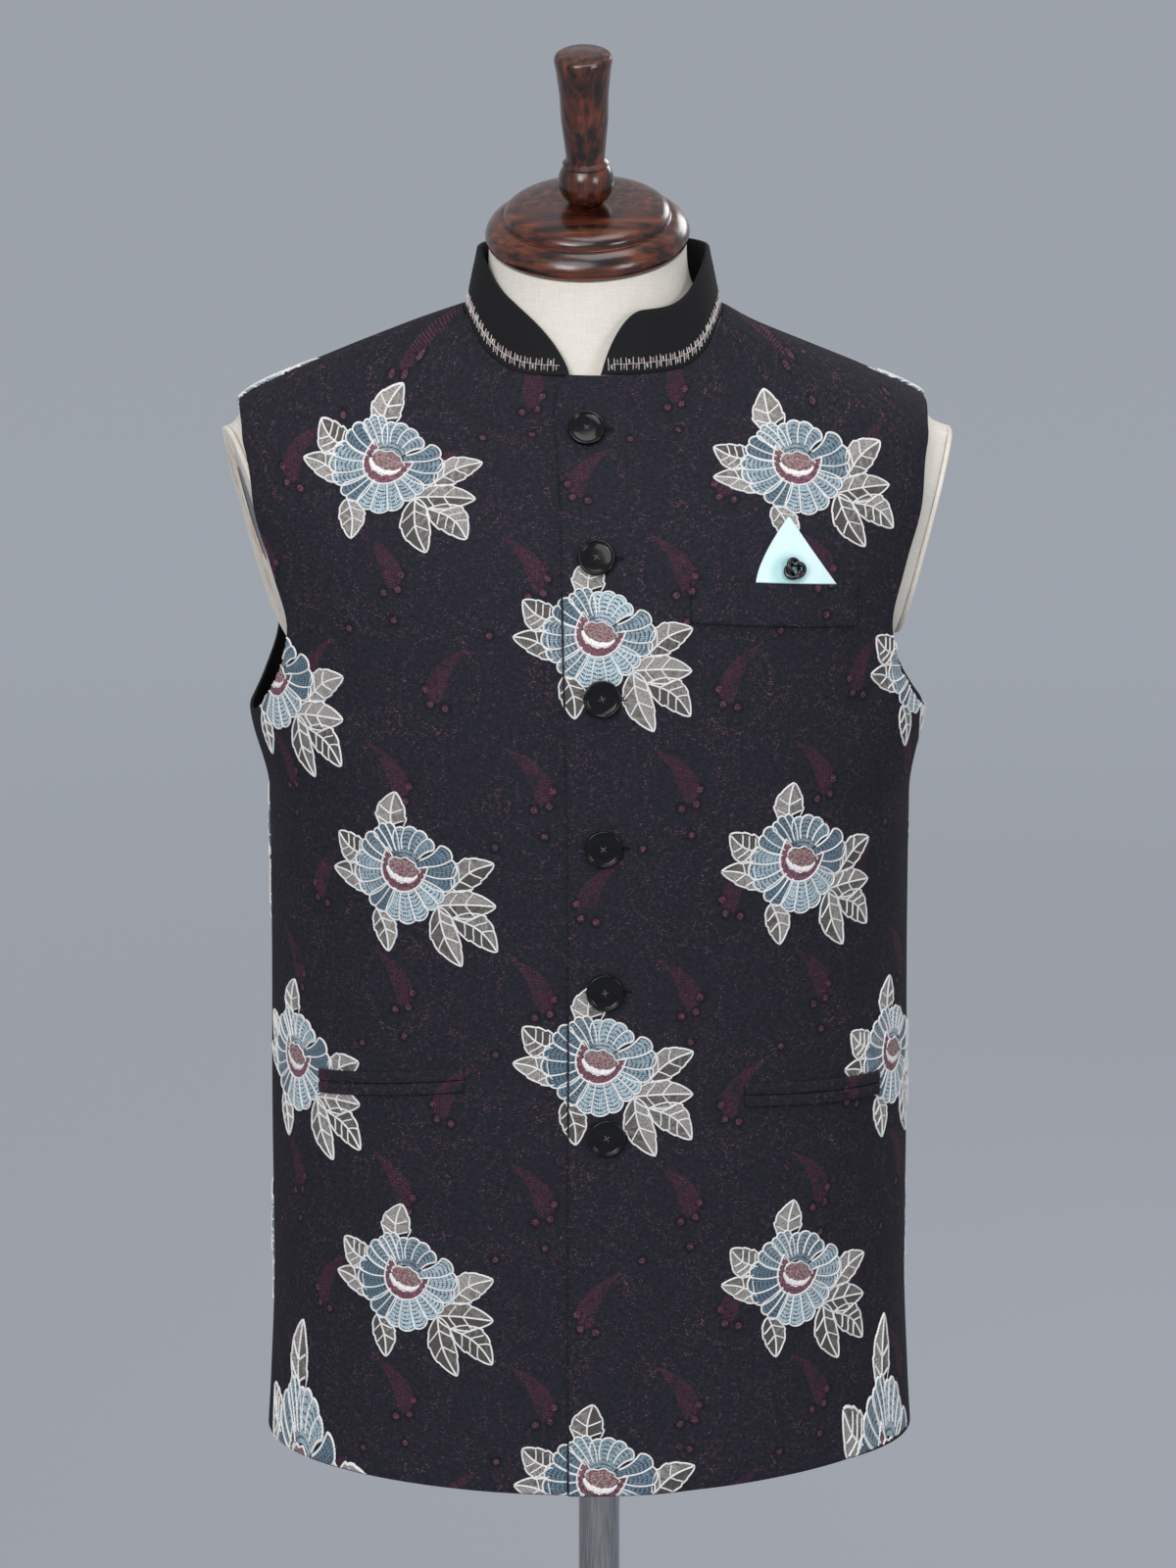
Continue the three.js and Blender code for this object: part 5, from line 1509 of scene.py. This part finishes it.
cap_profile = [
    (0, 0),
    (CAP_RADIUS - 3.6, 0),
    (CAP_RADIUS - 2.2, 0.5),
    (CAP_RADIUS - 0.9, 2.0),
    (CAP_RADIUS - 0.1, 4.2),
    (CAP_RADIUS, 6.0),
    (CAP_RADIUS - 0.9, 8.8),
    (CAP_RADIUS - 2.6, 11.4),
    (CAP_RADIUS - 5.0, 13.6),
    (CAP_RADIUS - 7.6, 15.1),
    (CAP_RADIUS - 9.6, 15.8),
    (CAP_STEP_RADIUS + 0.5, CAP_DISC - 0.4),
    (CAP_STEP_RADIUS, CAP_DISC),
    (CAP_STEP_RADIUS + 0.1, CAP_DISC + 1.6),
    (CAP_STEP_RADIUS - 0.5, CAP_DISC + 3.4),
    (CAP_STEP_RADIUS - 1.8, CAP_DISC + 5.0),
    (CAP_STEP_RADIUS - 4.0, CAP_DISC + 6.4),
    (CAP_STEP_RADIUS - 8.0, CAP_DISC + 7.6),
    (CAP_STEP_RADIUS - 15.0, CAP_DISC + 8.5),
    (22, CAP_DISC + CAP_STEP),
    (0, CAP_DISC + CAP_STEP),
]
points, faces = turned_piece(cap_profile, 120)
cap = make_piece("neck_cap", points @ cap_turn.T + cap_centre, faces, [wood], crisp=30)
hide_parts("neck_cap")
tilts = np.radians(np.arange(-56, 45, 10))
low, high = math.sin(tilts[0]), math.sin(tilts[-1])
ball = list(zip(BALL_RADIUS * np.cos(tilts), BALL_HEIGHT * (np.sin(tilts) - low) / (high - low)))
finial_profile = [(0, 0)] + ball + [
    (FINIAL_NECK + 2.2, BALL_HEIGHT - 0.4),
    (FINIAL_NECK + 2.3, BALL_HEIGHT + 0.6),
    (FINIAL_NECK + 1.2, BALL_HEIGHT + 1.6),
    (FINIAL_NECK, BALL_HEIGHT + 2.6),
    (FINIAL_NECK + 0.5, BALL_HEIGHT + 8),
    (FINIAL_NECK + 2.6, BALL_HEIGHT + 0.4 * FINIAL_HEIGHT),
    (FINIAL_TOP - 2.6, BALL_HEIGHT + 0.64 * FINIAL_HEIGHT),
    (FINIAL_TOP - 0.9, BALL_HEIGHT + 0.86 * FINIAL_HEIGHT),
    (FINIAL_TOP, BALL_HEIGHT + FINIAL_HEIGHT - 4.5),
    (FINIAL_TOP - 0.1, BALL_HEIGHT + FINIAL_HEIGHT - 2.6),
    (FINIAL_TOP - 0.9, BALL_HEIGHT + FINIAL_HEIGHT - 1.2),
    (FINIAL_TOP - 2.4, BALL_HEIGHT + FINIAL_HEIGHT - 0.4),
    (0, BALL_HEIGHT + FINIAL_HEIGHT),
]
points, faces = turned_piece(finial_profile, 80)
points = (points + (0, 0, CAP_DISC + CAP_STEP + 0.3)) @ cap_turn.T + cap_centre
finial = make_piece("finial", points, faces, [wood], crisp=30)
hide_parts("finial")

# Stand: a brushed steel tube that goes up into a flanged socket under the form, and down into the hub
# of a round plate painted off-white.
POLE_RADIUS, BORE = 12.5, 12.8
SOCKET_RADIUS, SOCKET_HEIGHT, SOCKET_FLANGE, SOCKET_FLANGE_THICK = 19.0, 46.0, 38.0, 5.0
BASE_RADIUS, BASE_RIM, BASE_DOME, HUB_RADIUS, HUB_TOP, HUB_FLOOR = 190.0, 6.0, 12.0, 21.0, 44.0, 8.0
socket_top = FORM_BOTTOM - 0.3
socket_low = socket_top - SOCKET_HEIGHT
points, faces = turned_piece(
    [
        (BORE, socket_low + 0.8),
        (BORE + 0.8, socket_low),
        (SOCKET_RADIUS - 1.2, socket_low),
        (SOCKET_RADIUS, socket_low + 1.2),
        (SOCKET_RADIUS, socket_top - SOCKET_FLANGE_THICK - 1.5),
        (SOCKET_RADIUS + 1.5, socket_top - SOCKET_FLANGE_THICK),
        (SOCKET_FLANGE - 1, socket_top - SOCKET_FLANGE_THICK),
        (SOCKET_FLANGE, socket_top - SOCKET_FLANGE_THICK + 1),
        (SOCKET_FLANGE, socket_top - 0.6),
        (SOCKET_FLANGE - 0.6, socket_top),
        (BORE, socket_top),
    ],
    72,
)
socket = make_piece("pole_socket", points, faces, [steel], aside=0.0, crisp=35)
pole_heights = [HUB_FLOOR + 0.3, *range(60, 760, 50), socket_top]
pole_profile = [(0, pole_heights[0]), *((POLE_RADIUS, z) for z in pole_heights), (0, socket_top)]
points, faces = turned_piece(pole_profile, 64)
pole = make_piece("stand_pole", points, faces, [steel], aside=0.0, crisp=35)
for made, name in ((socket, "pole_socket"), (pole, "stand_pole")):
    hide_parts(name)
paint, tree, shader = finish("off-white paint", srgb(216, 214, 209), 0.42, coat_weight=0.15)
x, y, z = object_place(tree)
orange_peel = cloudy((x * 0.5, y * 0.5, z * 0.5))
scuffs = cloudy((x * 0.03, y * 0.06, z * 0.1), 4.0, 0.7)
dye(shader, blend(scuffs.rising(0.5, 0.75), srgb(218, 216, 211), srgb(188, 185, 178)), scuffs * 0.3 + 0.25)
raise_by(shader, orange_peel, 0.08, 0.4)
points, faces = turned_piece(
    [
        (0, 0),
        (BASE_RADIUS - 0.6, 0),
        (BASE_RADIUS, 0.6),
        (BASE_RADIUS, BASE_RIM - 2),
        (BASE_RADIUS - 0.6, BASE_RIM - 0.7),
        (BASE_RADIUS - 2, BASE_RIM),
        (BASE_RADIUS - 40, BASE_RIM + 1.45),
        (HUB_RADIUS + 60, BASE_DOME - 2.1),
        (HUB_RADIUS + 6, BASE_DOME),
        (HUB_RADIUS + 2.4, BASE_DOME + 1.4),
        (HUB_RADIUS, BASE_DOME + 5),
        (HUB_RADIUS - 1.7, HUB_TOP - 1.5),
        (HUB_RADIUS - 3, HUB_TOP),
        (BORE + 0.5, HUB_TOP),
        (BORE, HUB_TOP - 0.6),
        (BORE, HUB_FLOOR),
        (0, HUB_FLOOR),
    ],
    144,
)
base = make_piece("stand_base", points, faces, [paint], aside=0.0, crisp=35)
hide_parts("stand_base")

# Floor and light: a plain pale floor that runs far back and gets lighter with the distance, and a
# photographer's large soft lights from the front, the top and the back.
floor_mesh = bpy.data.meshes.new("floor")
FLOOR_HALF, FLOOR_UNDER = 60, 0.0015
corners = ((-1, -1), (1, -1), (1, 1), (-1, 1))
floor_points = [(x * FLOOR_HALF, y * FLOOR_HALF, -FLOOR_UNDER) for x, y in corners]
floor_mesh.from_pydata(floor_points, [], [(0, 1, 2, 3)])
floor = bpy.data.objects.new("floor", floor_mesh)
scene.collection.objects.link(floor)
floor_paint, tree, shader = finish("pale floor", srgb(164, 168, 176), 0.95)
x, y, z = object_place(tree)
far_off = ((x * x + y * y).math("SQRT")).rising(500.0, 8000.0)
dye(shader, blend(far_off, srgb(160, 164, 172), srgb(194, 199, 207)))
shader.inputs["Specular IOR Level"].default_value = 0.1
floor_mesh.materials.append(floor_paint)
world = bpy.data.worlds.new("studio")
world.use_nodes = True
world.node_tree.nodes["Background"].inputs["Color"].default_value = (0.93, 0.96, 1.0, 1)
world.node_tree.nodes["Background"].inputs["Strength"].default_value = 0.46
scene.world = world
LIGHTS = (  # name, kind, place, size in metres or spread in degrees, watts or strength
    ("daylight", "SUN", (-1.3, -3.6, 3.4), 40, 1.1),
    ("key", "AREA", (-1.8, -3.6, 2.6), 1.4, 45),
    ("fill", "AREA", (2.4, -3.2, 2.0), 1.2, 30),
    ("top", "AREA", (0.3, -0.6, 4.2), 1.6, 25),
    ("back", "AREA", (2.0, 2.6, 2.8), 1.4, 30),
)
for name, kind, place, size, power in LIGHTS:
    lamp = bpy.data.lights.new(name, kind)
    lamp.energy = power
    if kind == "SUN":
        lamp.angle = math.radians(size)
    else:
        lamp.shape, lamp.size = "SQUARE", size
    light = bpy.data.objects.new(name, lamp)
    light.location = place
    light.rotation_mode = "QUATERNION"
    light.rotation_quaternion = (Vector((0, 0, 1.1)) - Vector(place)).to_track_quat("-Z", "Y")
    scene.collection.objects.link(light)
scene.view_settings.view_transform = "Standard"
